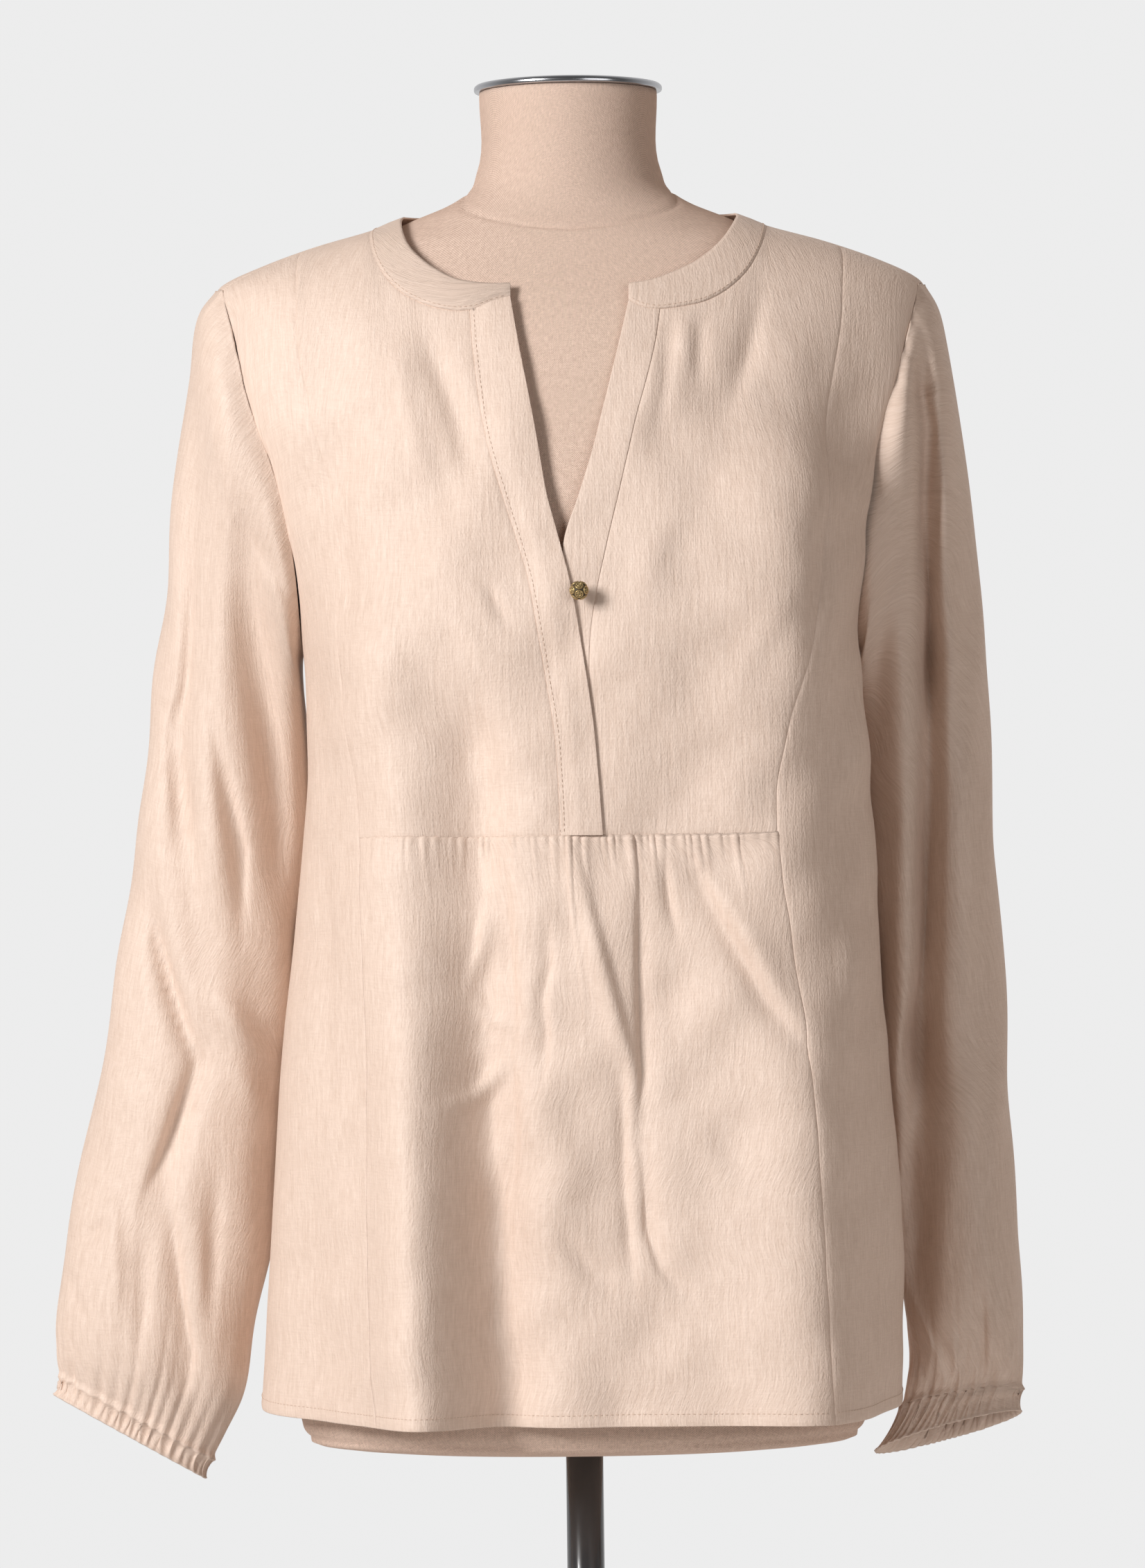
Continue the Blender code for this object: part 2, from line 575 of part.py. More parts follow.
def neck_upper(side):
    """The neckline's upper edge from the front opening to the shoulder."""
    rows = NECK_UPPER_RIGHT if side == RIGHT else NECK_UPPER_LEFT
    front = at_height(column(rows, "across"), column(rows, "height"), FRONT)
    return np.concatenate([front, on_top([side * NECK_TOP.across], [NECK_TOP.depth])])


def back_neck(half):
    """A neckline round the back, from the left shoulder seam to the right one."""
    across, depth = np.array(column(half, "across")), np.array(column(half, "depth"))
    return on_top(np.concatenate([across, -across[-2::-1]]), np.concatenate([depth, depth[-2::-1]]))


def drape_flat(points, rings=CLOTH_RINGS):
    """Move points level, along rays from the axis, until they lie on the surface."""
    axis = points * (0, 0, 1)
    return between(axis, axis + (points - axis) * (4, 4, 1), rings)


def make_side_front(name, side):
    """The side panel from the princess seam to the side seam and the armhole."""
    outer = np.concatenate([side_seam(side), armhole_points(side)[0][::-1][1:]])
    inner = princess(side)
    shoulder = shoulder_points(side)[:SHOULDER_COLUMNS + 1]
    hem = drape_flat(np.linspace(outer[0], inner[0], SHOULDER_COLUMNS + 1))
    if side == RIGHT:
        grid = patch(hem, shoulder, outer, inner)
    else:
        grid = patch(hem[::-1], shoulder[::-1], inner, outer)
    return sheet(name, shaped(inset(grid)), 1)


def make_yoke(name, side):
    """The plain upper front from the placket to the princess seam, up to the neck and shoulder."""
    outer = princess(side)[len(LOWER_ROWS) - 1:]
    neck, shoulder = neck_lower(side), shoulder_points(side)
    top = np.concatenate([shoulder[SHOULDER_COLUMNS:], neck[::-1][1:YOKE_NECK_COLUMNS + 1]])
    seam = PLACKET_RIGHT_SEAM if side == RIGHT else PLACKET_LEFT_SEAM
    inner = seam_points(seam, upper_heights(top[-1][2]))
    inner[-1] = top[-1]
    low = drape_flat(np.linspace(outer[0], inner[0], len(top)))
    if side == RIGHT:
        grid = patch(low, top, outer, inner)
    else:
        grid = patch(low[::-1], top[::-1], inner, outer)
    return sheet(name, shaped(inset(grid)), 1)


def make_placket(name, side):
    """One front band. The right one lies over the left one, lifted clear of it."""
    neck = neck_lower(side)[:PLACKET_COLUMNS + 1]
    if side == RIGHT:
        seam, edge = PLACKET_RIGHT_SEAM, PLACKET_RIGHT_EDGE
    else:
        seam, edge = PLACKET_LEFT_SEAM, PLACKET_LEFT_EDGE
    outer = seam_points(seam, upper_heights(neck[-1][2]))
    inner = seam_points(edge, upper_heights(neck[0][2]))
    outer[-1], inner[-1] = neck[-1], neck[0]
    low = drape_flat(np.linspace(outer[0], inner[0], PLACKET_COLUMNS + 1))
    if side == RIGHT:
        grid = patch(low, neck[::-1], outer, inner)
        lift = PLACKET_LIFT * ease(np.linspace(0, 2, PLACKET_COLUMNS + 1))[None, :]
        lift = np.broadcast_to(lift, grid.shape[:2])
    else:
        grid, lift = patch(low[::-1], neck, inner, outer), 0.0
    return sheet(name, shaped(inset(grid), lift=lift), 1)


def make_neckband():
    """The narrow band round the neck, open at the middle of the front."""
    right, left = neck_lower(RIGHT), neck_lower(LEFT)
    right_top, left_top = neck_upper(RIGHT), neck_upper(LEFT)
    low = np.concatenate([left[:-1], back_neck(BACK_NECK_LOWER), right[::-1][1:]])
    high = np.concatenate([left_top[:-1], back_neck(BACK_NECK_UPPER), right_top[::-1][1:]])
    middle = drape((low + high) / 2)
    grid = inset(np.stack([low, middle, high]))
    lift = np.array([0.3, 1, 1])[:, None] * NECKBAND_LIFT
    return sheet("neckband", shaped(grid, lift=np.broadcast_to(lift, grid.shape[:2])), 1)


def make_back():
    """The whole back in one piece, over the shoulders to the seams in front of the ridge."""
    right_seam, left_seam = shoulder_points(RIGHT), shoulder_points(LEFT)
    top = np.concatenate([left_seam, back_neck(BACK_NECK_LOWER)[1:-1], right_seam[::-1]])
    edges = [np.concatenate([side_seam(side), armhole_points(side)[1][1:]]) for side in (LEFT, RIGHT)]
    turn = np.linspace(0, np.pi, len(top))
    reach = np.stack([BACK_HEM_WIDE * np.cos(turn), BACK_HEM_DEEP * np.sin(turn), np.zeros_like(turn)], -1)
    hem = drape_flat(reach + (0, edges[0][0][1], SIDE_HEM))
    hem[0], hem[-1] = edges[0][0], edges[1][0]
    return sheet("back", shaped(inset(patch(hem, top, *edges))), 1)


def make_front_skirt():
    """The lower front, gathered into the seam under the yoke and flaring in uneven folds."""
    right = princess(RIGHT)[:len(LOWER_ROWS)]
    left = princess(LEFT)[:len(LOWER_ROWS)]
    columns = 2 * GATHER_WAVES
    low = at_height(np.linspace(right[0][0], left[0][0], columns + 1), FRONT_HEM, FRONT)
    high = at_height(np.linspace(right[-1][0], left[-1][0], columns + 1), YOKE_SEAM, FRONT)
    grid = inset(patch(low, high, right, left))
    wave = np.arange(columns + 1)
    reach = GATHER_REACH * (1 + GATHER_LONGER * np.abs(np.sin(GATHER_STEP * (wave // 2))))
    fall = np.exp(-(YOKE_SEAM - grid[..., 2]) / reach)
    inside = (wave > 1) & (wave < columns - 1)
    gathers = GATHER_OUT * (wave % 2) * inside * fall
    return sheet("front_skirt", shaped(grid, lift=gathers), 1)


def section_loop(section, turn, drop, swing):
    """One sleeve section: an oval between its edges, its back hanging lower, swung back."""
    outer = np.array([section.outer_x, 0, section.outer_z], float)
    inner = np.array([section.inner_x, 0, section.inner_z], float)
    even = turn + SECTION_EVENING * np.sin(2 * turn)
    cos, sin = np.cos(even)[:, None], np.sin(even)[:, None]
    loop = (outer + inner) / 2 + cos * (outer - inner) / 2
    loop[:, 1:2] += np.where(sin > 0, -section.front * sin, -section.back * sin)
    loop[:, 2:3] -= drop * (1 - sin) / 2 - drop / 2
    return loop + (0, swing, 0)


def make_sleeve(side):
    """A full sleeve that hangs from the armhole, gathered at its end into the cuff."""
    sections = RIGHT_SECTIONS if side == RIGHT else LEFT_SECTIONS
    folds = RIGHT_SLEEVE_FOLDS if side == RIGHT else LEFT_SLEEVE_FOLDS
    drop = RIGHT_BACK_DROP if side == RIGHT else LEFT_BACK_DROP
    cuff_end = RIGHT_CUFF_END if side == RIGHT else LEFT_CUFF_END
    turn = np.linspace(0, 2 * np.pi, SLEEVE_COLUMNS + 1)
    place = np.linspace(0, 1, len(sections))
    rows = np.linspace(0, 1, SLEEVE_ROWS + 1)
    drops = drop * ease((place - DROP_START) / (1 - DROP_START))
    swings = SLEEVE_SWING * ease((place - SWING_START) / SWING_REACH)
    table = np.stack([section_loop(*row) for row in zip(sections, [turn] * len(place), drops, swings)])
    grid = smooth_loops(place, table, rows)
    front, back = armhole_points(side)
    loop = np.concatenate([front, back[1:]])
    loop = shaped(loop) + WALL * outward(CLOTH_RINGS, loop)
    armhole = np.empty((SLEEVE_COLUMNS + 1, 3))
    armhole[::2] = loop
    armhole[1::2] = (loop[:-1] + loop[1:]) / 2
    start = armhole - grid[0]
    grid = grid + (1 - ease(rows / ARMHOLE_BLEND))[:, None, None] * start
    grid = sleeve_folds(grid, turn, folds)
    # The gathers swell between the stitches, whose points stay on the section
    wave = np.arange(SLEEVE_COLUMNS + 1) % 2
    swell = CUFF_GATHER_OUT * wave * np.exp(-(1 - rows[:, None]) * SLEEVE_LENGTH / SLEEVE_GATHER_REACH)
    grid = grid + swell[..., None] * loop_normals(grid, side)
    cuff = make_cuff_grid(grid[-1], section_loop(cuff_end, turn, drop, SLEEVE_SWING), wave, side)
    grid[0] = inset_edge(grid[0], grid[1], ARMHOLE_INSET, closed=True)
    grid[-1] = inset_edge(grid[-1], grid[-2], SEAM_INSET, closed=True)
    name = "right" if side == RIGHT else "left"
    order = 1 if side == RIGHT else -1
    sheet("sleeve_" + name, grid[::-1, ::order], -1, closed=True)
    sheet("cuff_" + name, cuff[::-1, ::order], -1, closed=True)


def smooth_loops(place, table, rows):
    """Loops at new places along a sleeve, by the smooth cubic through the table's loops."""
    flat = table.reshape(len(table), -1)
    out = np.stack([smooth(place, flat[:, k], rows) for k in range(flat.shape[1])], -1)
    return out.reshape(len(rows), *table.shape[1:])


def sleeve_folds(grid, turn, folds):
    """Press a sleeve's folds into its front, and gentler ones into its back."""
    x, z = grid[..., 0], grid[..., 2]
    facing = np.sin(turn)[None, :]
    front = fold_relief(folds, x, z) * ease(facing * FOLD_TURN)
    back = fold_relief(folds, x - BACK_FOLD_IN, z + BACK_FOLD_DOWN) * ease(-facing * FOLD_TURN)
    back = BACK_FOLD_SHARE * back
    away = ease(np.linspace(0, 1, len(grid)) / ARMHOLE_FREE)[:, None]
    return grid + ((back - front) * away)[..., None] * (0, 1, 0)


def loop_normals(grid, side):
    """Outward unit normals of a tube's grid, whose rows run down from the armhole."""
    around = np.roll(grid[:, :-1], -1, axis=1) - np.roll(grid[:, :-1], 1, axis=1)
    around = np.concatenate([around, around[:, :1]], axis=1)
    down = np.gradient(grid, axis=0)
    normal = side * np.cross(around, down)
    return normal / np.linalg.norm(normal, axis=-1, keepdims=True)


def make_cuff_grid(top, end, wave, side):
    """The short gathered cuff from the sleeve's last loop to its own end."""
    t = np.linspace(0, 1, CUFF_ROWS + 1)[:, None, None]
    grid = (1 - t) * top + t * end
    grid = grid + t * CUFF_GATHER_OUT * wave[None, :, None] * loop_normals(grid, side)
    grid[0] = inset_edge(grid[0], grid[1], SEAM_INSET, closed=True)
    return grid


def make_form():
    """The torso and neck of the form, one smooth closed body of rings."""
    heights = np.array(column(FORM_RINGS, "height"), float)
    bm = bmesh.new()
    bmesh.ops.create_uvsphere(bm, u_segments=FORM_SIDES, v_segments=len(heights) + 1, radius=1)
    rays = np.array([vert.co for vert in bm.verts])
    steps = np.arccos(np.clip(-rays[:, 2], -1, 1)) / math.pi * (len(heights) + 1)
    level = np.clip(np.rint(steps).astype(int) - 1, 0, len(heights) - 1)
    rays[:, 2] = 0
    pole = np.hypot(rays[:, 0], rays[:, 1]) < 1e-4
    middle = np.stack([np.zeros(len(rays)), np.zeros(len(rays)), heights[level]], -1)
    surface = between(middle, middle + rays * FORM_RAY, FORM_RINGS)
    surface = shaped(surface, FORM_RINGS, folded=False)
    surface[pole] = middle[pole]
    for vert, point in zip(bm.verts, surface):
        vert.co = Vector(point * MM)
    return add_object("form_torso", bm, CANVAS)


def make_stand():
    """The steel cap on the neck, the black pole and the round base."""
    turned("neck_cap", ((0, CAP_TOP), (CAP_RADIUS - 3, CAP_TOP - 0.3), (CAP_RADIUS, CAP_TOP - 1.5),
                        (CAP_RADIUS, CAP_FOOT), (0, CAP_FOOT)), STEEL, ROUND_SIDES)
    top, foot = FORM_RINGS[0].height - TOUCH_GAP, BASE_THICK + TOUCH_GAP
    bpy.ops.mesh.primitive_cylinder_add(vertices=POLE_SIDES, radius=POLE_RADIUS * MM,
                                        depth=(top - foot) * MM, location=(0, 0, (top + foot) / 2 * MM))
    pole = bpy.context.object
    pole.name = pole.data.name = "stand_pole"
    pole.data.materials.append(principled("stand_pole_finish", BLACK))
    bpy.data.collections["blouse_on_form"].objects.link(pole)
    for other in list(pole.users_collection):
        if other.name != "blouse_on_form":
            other.objects.unlink(pole)
    turned("stand_base", ((0, BASE_THICK), (BASE_RADIUS - BASE_EDGE, BASE_THICK),
                          (BASE_RADIUS, BASE_THICK - BASE_EDGE), (BASE_RADIUS, 0), (0, 0)),
           STEEL, ROUND_SIDES)


def make_button():
    """The ball button and its shank, square to the front where the bands cross."""
    seat = at_height([BUTTON_AT.across], [BUTTON_AT.height], FRONT)
    normal = outward(CLOTH_RINGS, seat)[0]
    seat = shaped(seat)[0]
    foot = WALL + TOUCH_GAP
    middle = PLACKET_LIFT + WALL + BUTTON_CLEAR + BUTTON_RADIUS
    neck = math.asin(SHANK_RADIUS / BUTTON_RADIUS)
    arc = np.linspace(0, math.pi - neck, 9)
    profile = [(BUTTON_RADIUS * math.sin(a), middle + BUTTON_RADIUS * math.cos(a)) for a in arc]
    profile += [(SHANK_RADIUS, foot), (0, foot)]
    button = turned("ball_button", profile, BRASS, BUTTON_SIDES)
    button.rotation_euler = Vector((0, 0, 1)).rotation_difference(Vector(normal)).to_euler()
    button.location = Vector(seat * MM)


def clear_scene():
    """Empty the scene and make the collection that holds the parts."""
    for item in list(bpy.data.objects):
        bpy.data.objects.remove(item, do_unlink=True)
    parts = bpy.data.collections.new("blouse_on_form")
    bpy.context.scene.collection.children.link(parts)


def main():
    """Build every piece of the blouse, the form and the stand."""
    clear_scene()
    make_form()
    make_stand()
    make_back()
    make_front_skirt()
    make_side_front("side_front_right", RIGHT)
    make_side_front("side_front_left", LEFT)
    make_yoke("front_yoke_right", RIGHT)
    make_yoke("front_yoke_left", LEFT)
    make_placket("placket_left", LEFT)
    make_placket("placket_right", RIGHT)
    make_neckband()
    make_sleeve(RIGHT)
    make_sleeve(LEFT)
    make_button()


main()
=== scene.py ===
"""Looks of a long-sleeve blouse with a gathered front, on a limbless dress form with its stand.

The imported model's frame holds: X runs to the viewer's right, the front faces -Y, Z is up and
the origin is the middle of the base's underside. Sizes in the tables are millimetres and become
metres as each mesh is made. Right and left are the wearer's, so the right side has negative X.
"""
import logging
import math
from dataclasses import dataclass, field
from enum import Enum
from typing import Any, Mapping, NamedTuple, Sequence

import bmesh
import bpy
import numpy as np
from mathutils import Matrix, Vector


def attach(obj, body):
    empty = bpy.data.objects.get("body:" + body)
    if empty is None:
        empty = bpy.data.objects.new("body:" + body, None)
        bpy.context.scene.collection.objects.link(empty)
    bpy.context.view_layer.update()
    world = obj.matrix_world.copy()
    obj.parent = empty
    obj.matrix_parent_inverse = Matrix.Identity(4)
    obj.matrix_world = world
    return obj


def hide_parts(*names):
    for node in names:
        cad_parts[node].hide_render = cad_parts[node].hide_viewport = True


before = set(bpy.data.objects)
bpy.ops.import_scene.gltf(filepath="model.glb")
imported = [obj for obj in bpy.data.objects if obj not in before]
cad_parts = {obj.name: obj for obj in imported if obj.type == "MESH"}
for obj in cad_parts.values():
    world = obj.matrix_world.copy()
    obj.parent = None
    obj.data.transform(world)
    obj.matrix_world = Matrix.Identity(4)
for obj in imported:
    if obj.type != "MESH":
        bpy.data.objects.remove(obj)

Array, Material, Piece = np.ndarray, bpy.types.Material, bpy.types.Object
Triple = tuple[float, float, float]
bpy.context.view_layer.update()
LOG = logging.getLogger("blouse")
MM = 0.001
BODY = "root"
WALL = 1.0
SEAM_INSET, ARMHOLE_INSET = 0.17, 0.35
SPACING, SKIRT_SPACING, PLACKET_SPACING, NECK_SPACING = 3.0, 2.6, 2.2, 2.4
EDGE_STEPS = (0.5, 1.2, 2.2)
HALVINGS, NORMAL_STEP = 30, 0.5
RAY_NEAR, RAY_FAR, LEVEL_REACH = 0.3, 1.8, 4
SLOPE_LOW, SLOPE_HIGH = 1300.0, 1484.0
ROLL_DIP, ROLL_REACH = 0.5, 1.0
SHARP_ANGLE = 50.0


class Side(Enum):
    """The wearer's side of a piece; its value is the sign of X there."""

    RIGHT = -1
    LEFT = 1

    @property
    def word(self) -> str:
        """The side's name as piece names use it."""
        return self.name.lower()

    @property
    def inner_column(self) -> int:
        """The column of a side's grid that is nearest the middle of the front."""
        return -1 if self is Side.RIGHT else 0


class Face(Enum):
    """The front or back half of the body; its value is the sign of Y there."""

    FRONT = -1
    BACK = 1


class Ring(NamedTuple):
    """A level ring: half widths to each side, half depths and squareness."""

    height: float
    right: float
    left: float
    front: float
    back: float
    power: float


class Hump(NamedTuple):
    """A soft fullness: where it is, its spread and how far it stands out."""

    across: float
    height: float
    wide: float
    tall: float
    out: float


class Fold(NamedTuple):
    """A broad fold from its top to its foot. One at the hem grows all the way down."""

    top_x: float
    top_z: float
    foot_x: float
    foot_z: float
    wide: float
    out: float
    at_hem: bool


class Crease(NamedTuple):
    """A narrow ridge (out above 0) or trough through points (across, height), with its own
    width on the viewer's left and right of its line."""

    path: tuple[tuple[float, float], ...]
    left: float
    right: float
    out: float


class Seam(NamedTuple):
    """A seam's place across at a height, seen from the front."""

    height: float
    across: float


class NeckPoint(NamedTuple):
    """A point of the neckline, seen from the front."""

    across: float
    height: float


class TopPoint(NamedTuple):
    """A point of the shoulder slope, seen from above: across, and depth from the ridge."""

    across: float
    depth: float


class ArmholeRow(NamedTuple):
    """The armhole's depth at a height, seen from the side."""

    height: float
    depth: float


class Section(NamedTuple):
    """A sleeve's cross-section: its outer and inner edge, then its half depths."""

    outer_x: float
    outer_z: float
    inner_x: float
    inner_z: float
    front: float
    back: float


class Cut(NamedTuple):
    """The cut of a piece of cloth: its width, length and flat area, in metres."""

    width: float
    length: float
    area: float


def table(kind: type, *rows: tuple[Any, ...]) -> tuple[Any, ...]:
    """The rows of a table, each with the named columns of its kind."""
    return tuple(kind(*row) for row in rows)


CLOTH_RINGS = table(Ring, (795, 180, 177, 140, 125, 2.2), (900, 173, 178, 136, 119, 2.2),
    (1000, 166, 170.5, 131, 111, 2.2), (1060, 159, 166.5, 128, 106, 2.2),
    (1117, 153, 164, 124.5, 102, 2.15), (1150, 150, 161, 125, 100, 2.1), (1180, 150, 159, 126, 100, 2.1),
    (1220, 151, 156, 127.5, 101, 2.05), (1254, 157, 160, 126.5, 104, 2), (1284, 166, 167, 122, 107, 2),
    (1327, 184, 184, 114, 110, 2), (1353, 197, 194, 108, 110, 2), (1377, 205, 203, 102, 108, 2),
    (1395, 205, 205, 96.5, 105, 2), (1412, 205, 205, 90, 101, 2), (1422, 203, 202, 85, 97, 2),
    (1431, 193, 192, 80, 92, 2), (1439, 175, 175, 76, 86, 2), (1450, 144, 144, 70, 78, 2),
    (1459, 112, 112, 65, 72, 2), (1466, 93, 93, 60.5, 67, 2), (1475, 75, 75, 56, 62, 2),
    (1484, 60, 60, 53, 58, 2))
FORM_RINGS = table(Ring, (776, 120, 120, 84, 84, 2.2), (778, 142, 142, 98, 98, 2.2),
    (784, 154, 154, 108, 107, 2.2), (794, 159, 159, 112, 111, 2.2), (850, 161, 161, 113, 112, 2.2),
    (920, 158, 158, 110, 111, 2.2), (1000, 142, 142, 100, 99, 2.2), (1060, 126, 126, 93, 86, 2.15),
    (1110, 122, 122, 94, 80, 2.1), (1160, 130, 130, 104, 84, 2.1), (1210, 141, 141, 117, 91, 2.05),
    (1250, 149, 149, 120, 97, 2), (1284, 157, 157, 116, 102, 2), (1327, 171, 171, 109, 106, 2),
    (1353, 181, 181, 104, 106, 2), (1377, 189, 189, 98.5, 104.5, 2), (1395, 193, 193, 93.5, 102, 2),
    (1412, 195, 195, 86, 96.5, 2), (1422, 192.5, 192, 80, 91.5, 2), (1431, 185.5, 185, 74.3, 86.3, 2),
    (1439, 167.6, 168, 69.5, 79.6, 2), (1450, 135.4, 136, 63.9, 71.3, 2),
    (1459, 104, 104.2, 59, 65.1, 2), (1466, 86.8, 86.8, 55.2, 60.8, 2), (1473, 69.5, 69.5, 53, 57.2, 2),
    (1481, 57, 57, 51.5, 56, 2), (1492, 52, 52, 50.5, 54, 2), (1537.3, 50, 50, 50, 52, 2))
BUST = table(Hump, (-82, 1243, 46, 62, 9), (82, 1243, 46, 62, 9))
BUST_FADE, FACE_FADE, FOLD_FADE = 60.0, 50.0, 60.0
CREASE_RISE, CREASE_END, CREASE_POWER = 2.1, 0.04, 0.7
CRUMPLE_WAVES, CRUMPLE_LENGTHS, CRUMPLE_LEAN, CRUMPLE_OUT = 40, (22, 90), 0.45, 1.3
CRUMPLE_TOP, CRUMPLE_REACH = 1425.0, 60.0
TUBE_TURNS, TUBE_LENGTHS = 9, (70, 260)

FRONT_FOLDS = table(Fold, (-102, 1240, -92, 730, 23, 15, False), (-58, 1190, -45, 730, 17, -11, False),
    (-91, 1110, -80, 795, 21, 26, True), (-52, 1110, -38, 795, 22, -12, True),
    (22, 1110, 20, 795, 24, -5, True), (118, 1330, 123, 730, 43, 25, False),
    (109, 1130, 120, 795, 34, 16, True), (-148, 1060, -150, 795, 13, -6, True),
    (152, 1060, 156, 795, 12, -4, True))
BACK_FOLDS = table(Fold, (-92, 1130, -100, 795, 27, 11, True), (-46, 1110, -50, 795, 20, -9, True),
    (4, 1100, 8, 795, 24, 9, True), (52, 1140, 58, 795, 20, -8, True),
    (98, 1080, 104, 795, 24, 10, True))
FRONT_CREASES = table(Crease, (((-39, 1096), (-37, 1058), (-35, 1027), (-36, 1004)), 6, 2.5, -1.6),
    (((-37, 996), (-35, 960), (-38, 925)), 6, 2.5, -1.3),
    (((-17, 1070), (-16, 1046), (-20, 1027), (-18, 1008), (-21, 984)), 5, 3, -1.3),
    (((-50, 1080), (-53, 1058), (-61, 1036)), 4, 5, 1.6),
    (((-3, 1112), (4, 1080), (10, 1055), (19, 1020), (29, 985), (31, 964)), 7, 4, 2.2),
    (((33, 1113), (33, 1033), (34, 990), (31, 948)), 3, 7, -1.9),
    (((23, 1000), (24, 924), (28, 866)), 5, 3, -1.2),
    (((34, 950), (36, 903), (42, 882), (56, 866)), 3, 6, -1.6),
    (((62, 1103), (81, 1062), (97, 1028), (113, 1000)), 7, 3, -2.0),
    (((66, 1100), (86, 1062), (103, 1030), (117, 1004)), 3, 8, 1.3),
    (((46, 1108), (50, 1082), (54, 1062)), 4, 3, -1.2),
    (((-74, 969), (-57, 977), (-40, 994)), 5, 5, 2.2),
    (((-62, 1030), (-50, 1018), (-30, 1013)), 4, 4, 0.9), (((60, 960), (76, 930), (92, 918)), 8, 8, 0.9),
    (((-14, 905), (4, 880), (20, 872)), 6, 6, -1.0),
    (((-82, 1403), (-76, 1381), (-68, 1359), (-61, 1335), (-54, 1308)), 6, 9, -1.7),
    (((-95, 1395), (-92, 1360), (-84, 1330), (-74, 1300)), 8, 7, 1.1),
    (((106, 1420), (98, 1382), (86, 1350)), 8, 6, -1.4),
    (((54, 1402), (51, 1361), (46, 1336)), 4, 4, -1.0), (((72, 1404), (70, 1365)), 4, 4, -0.9),
    (((62, 1403), (61, 1372)), 3, 4, 0.8), (((-48, 1256), (-36, 1231)), 3, 4, -1.3),
    (((-64, 1238), (-46, 1214)), 6, 6, 0.8), (((60, 1300), (40, 1265), (34, 1240)), 8, 8, 0.8),
    (((112, 1260), (90, 1218), (82, 1190)), 8, 7, 0.9),
    (((128, 1300), (121, 1250), (112, 1205)), 5, 6, -1.0),
    (((-128, 1310), (-120, 1262), (-117, 1214)), 6, 5, -0.9),
    (((140, 1100), (138, 1040), (141, 980)), 6, 8, 1.3),
    (((-141, 1120), (-138, 1040), (-141, 960)), 7, 5, -1.2),
    (((-158, 1230), (-146, 1180), (-144, 1130)), 6, 6, 1.2),
    (((155, 1225), (146, 1180), (143, 1140)), 6, 6, 1.2))
BACK_CREASES = table(Crease, (((-60, 1040), (-66, 960), (-62, 900)), 6, 4, -1.5),
    (((20, 1060), (26, 990), (22, 930)), 4, 7, -1.4),
    (((-20, 1200), (-28, 1130), (-24, 1080)), 8, 8, 1.2),
    (((70, 1180), (62, 1110), (66, 1050)), 7, 5, 1.3),
    (((120, 1330), (96, 1270), (84, 1220)), 9, 7, -1.5),
    (((-122, 1330), (-98, 1268), (-88, 1214)), 7, 9, -1.4),
    (((-140, 1160), (-134, 1080), (-138, 1010)), 6, 6, 1.3),
    (((142, 1150), (138, 1070), (140, 980)), 6, 6, -1.3), (((0, 1404), (4, 1360)), 9, 9, 0.8),
    (((-50, 1400), (-56, 1340), (-52, 1300)), 8, 8, -0.9))
RIGHT_SLEEVE_FOLDS = table(Fold, (-213, 1362, -222, 1120, 8, -7, False),
    (-198, 1350, -204, 1090, 10, 5, False), (-181, 1300, -168, 1090, 10, -9, False),
    (-240, 1085, -214, 995, 9, -7, False), (-206, 1040, -176, 960, 10, 5, False),
    (-214, 995, -240, 905, 9, -6, False), (-232, 915, -222, 800, 10, -5, False))
LEFT_SLEEVE_FOLDS = table(Fold, (196, 1405, 200, 1200, 7, -16, False),
    (200, 1230, 194, 985, 7, -18, False), (180, 1240, 181, 960, 8, 6, False),
    (192, 1010, 186, 850, 9, -15, False), (176, 1290, 174, 1180, 9, -5, False),
    (196, 1010, 192, 900, 10, -5, False), (226, 980, 222, 840, 12, 4, False))
RIGHT_SLEEVE_CREASES = table(Crease,
    (((-211, 1365), (-211, 1299), (-214, 1250), (-219, 1201), (-229, 1180), (-222, 1120)), 4, 7, -2.2),
    (((-197, 1351), (-200, 1316), (-204, 1273), (-210, 1200)), 3, 5, -1.6),
    (((-189, 1303), (-172, 1275), (-155, 1247)), 4, 6, -1.7),
    (((-207, 1200), (-198, 1156), (-189, 1111), (-189, 1060)), 6, 4, -2.2),
    (((-240, 1078), (-229, 1036), (-217, 997)), 5, 3, -3.0),
    (((-234, 1080), (-222, 1036), (-210, 1000)), 4, 7, 2.4),
    (((-217, 992), (-231, 954), (-247, 915)), 3, 6, -2.6),
    (((-202, 1030), (-186, 1010), (-168, 987)), 7, 4, 2.0),
    (((-208, 1016), (-192, 998), (-176, 982)), 4, 5, -1.5),
    (((-232, 920), (-224, 853), (-221, 830), (-225, 812)), 5, 4, -2.3),
    (((-291, 889), (-278, 895), (-264, 905)), 4, 4, -2.2), (((-292, 879), (-281, 852)), 3, 3, -1.6),
    (((-280, 1000), (-262, 985), (-246, 962)), 8, 6, 1.3),
    (((-268, 930), (-262, 890), (-263, 850)), 6, 5, 1.6),
    (((-246, 905), (-247, 860), (-250, 826)), 5, 5, -1.6),
    (((-205, 930), (-208, 880), (-212, 838)), 5, 5, -1.7), (((-200, 1398), (-206, 1384)), 3, 3, -1.6),
    (((-206, 1404), (-212, 1388)), 3, 3, 1.2), (((-190, 1402), (-195, 1388)), 3, 3, -1.2))
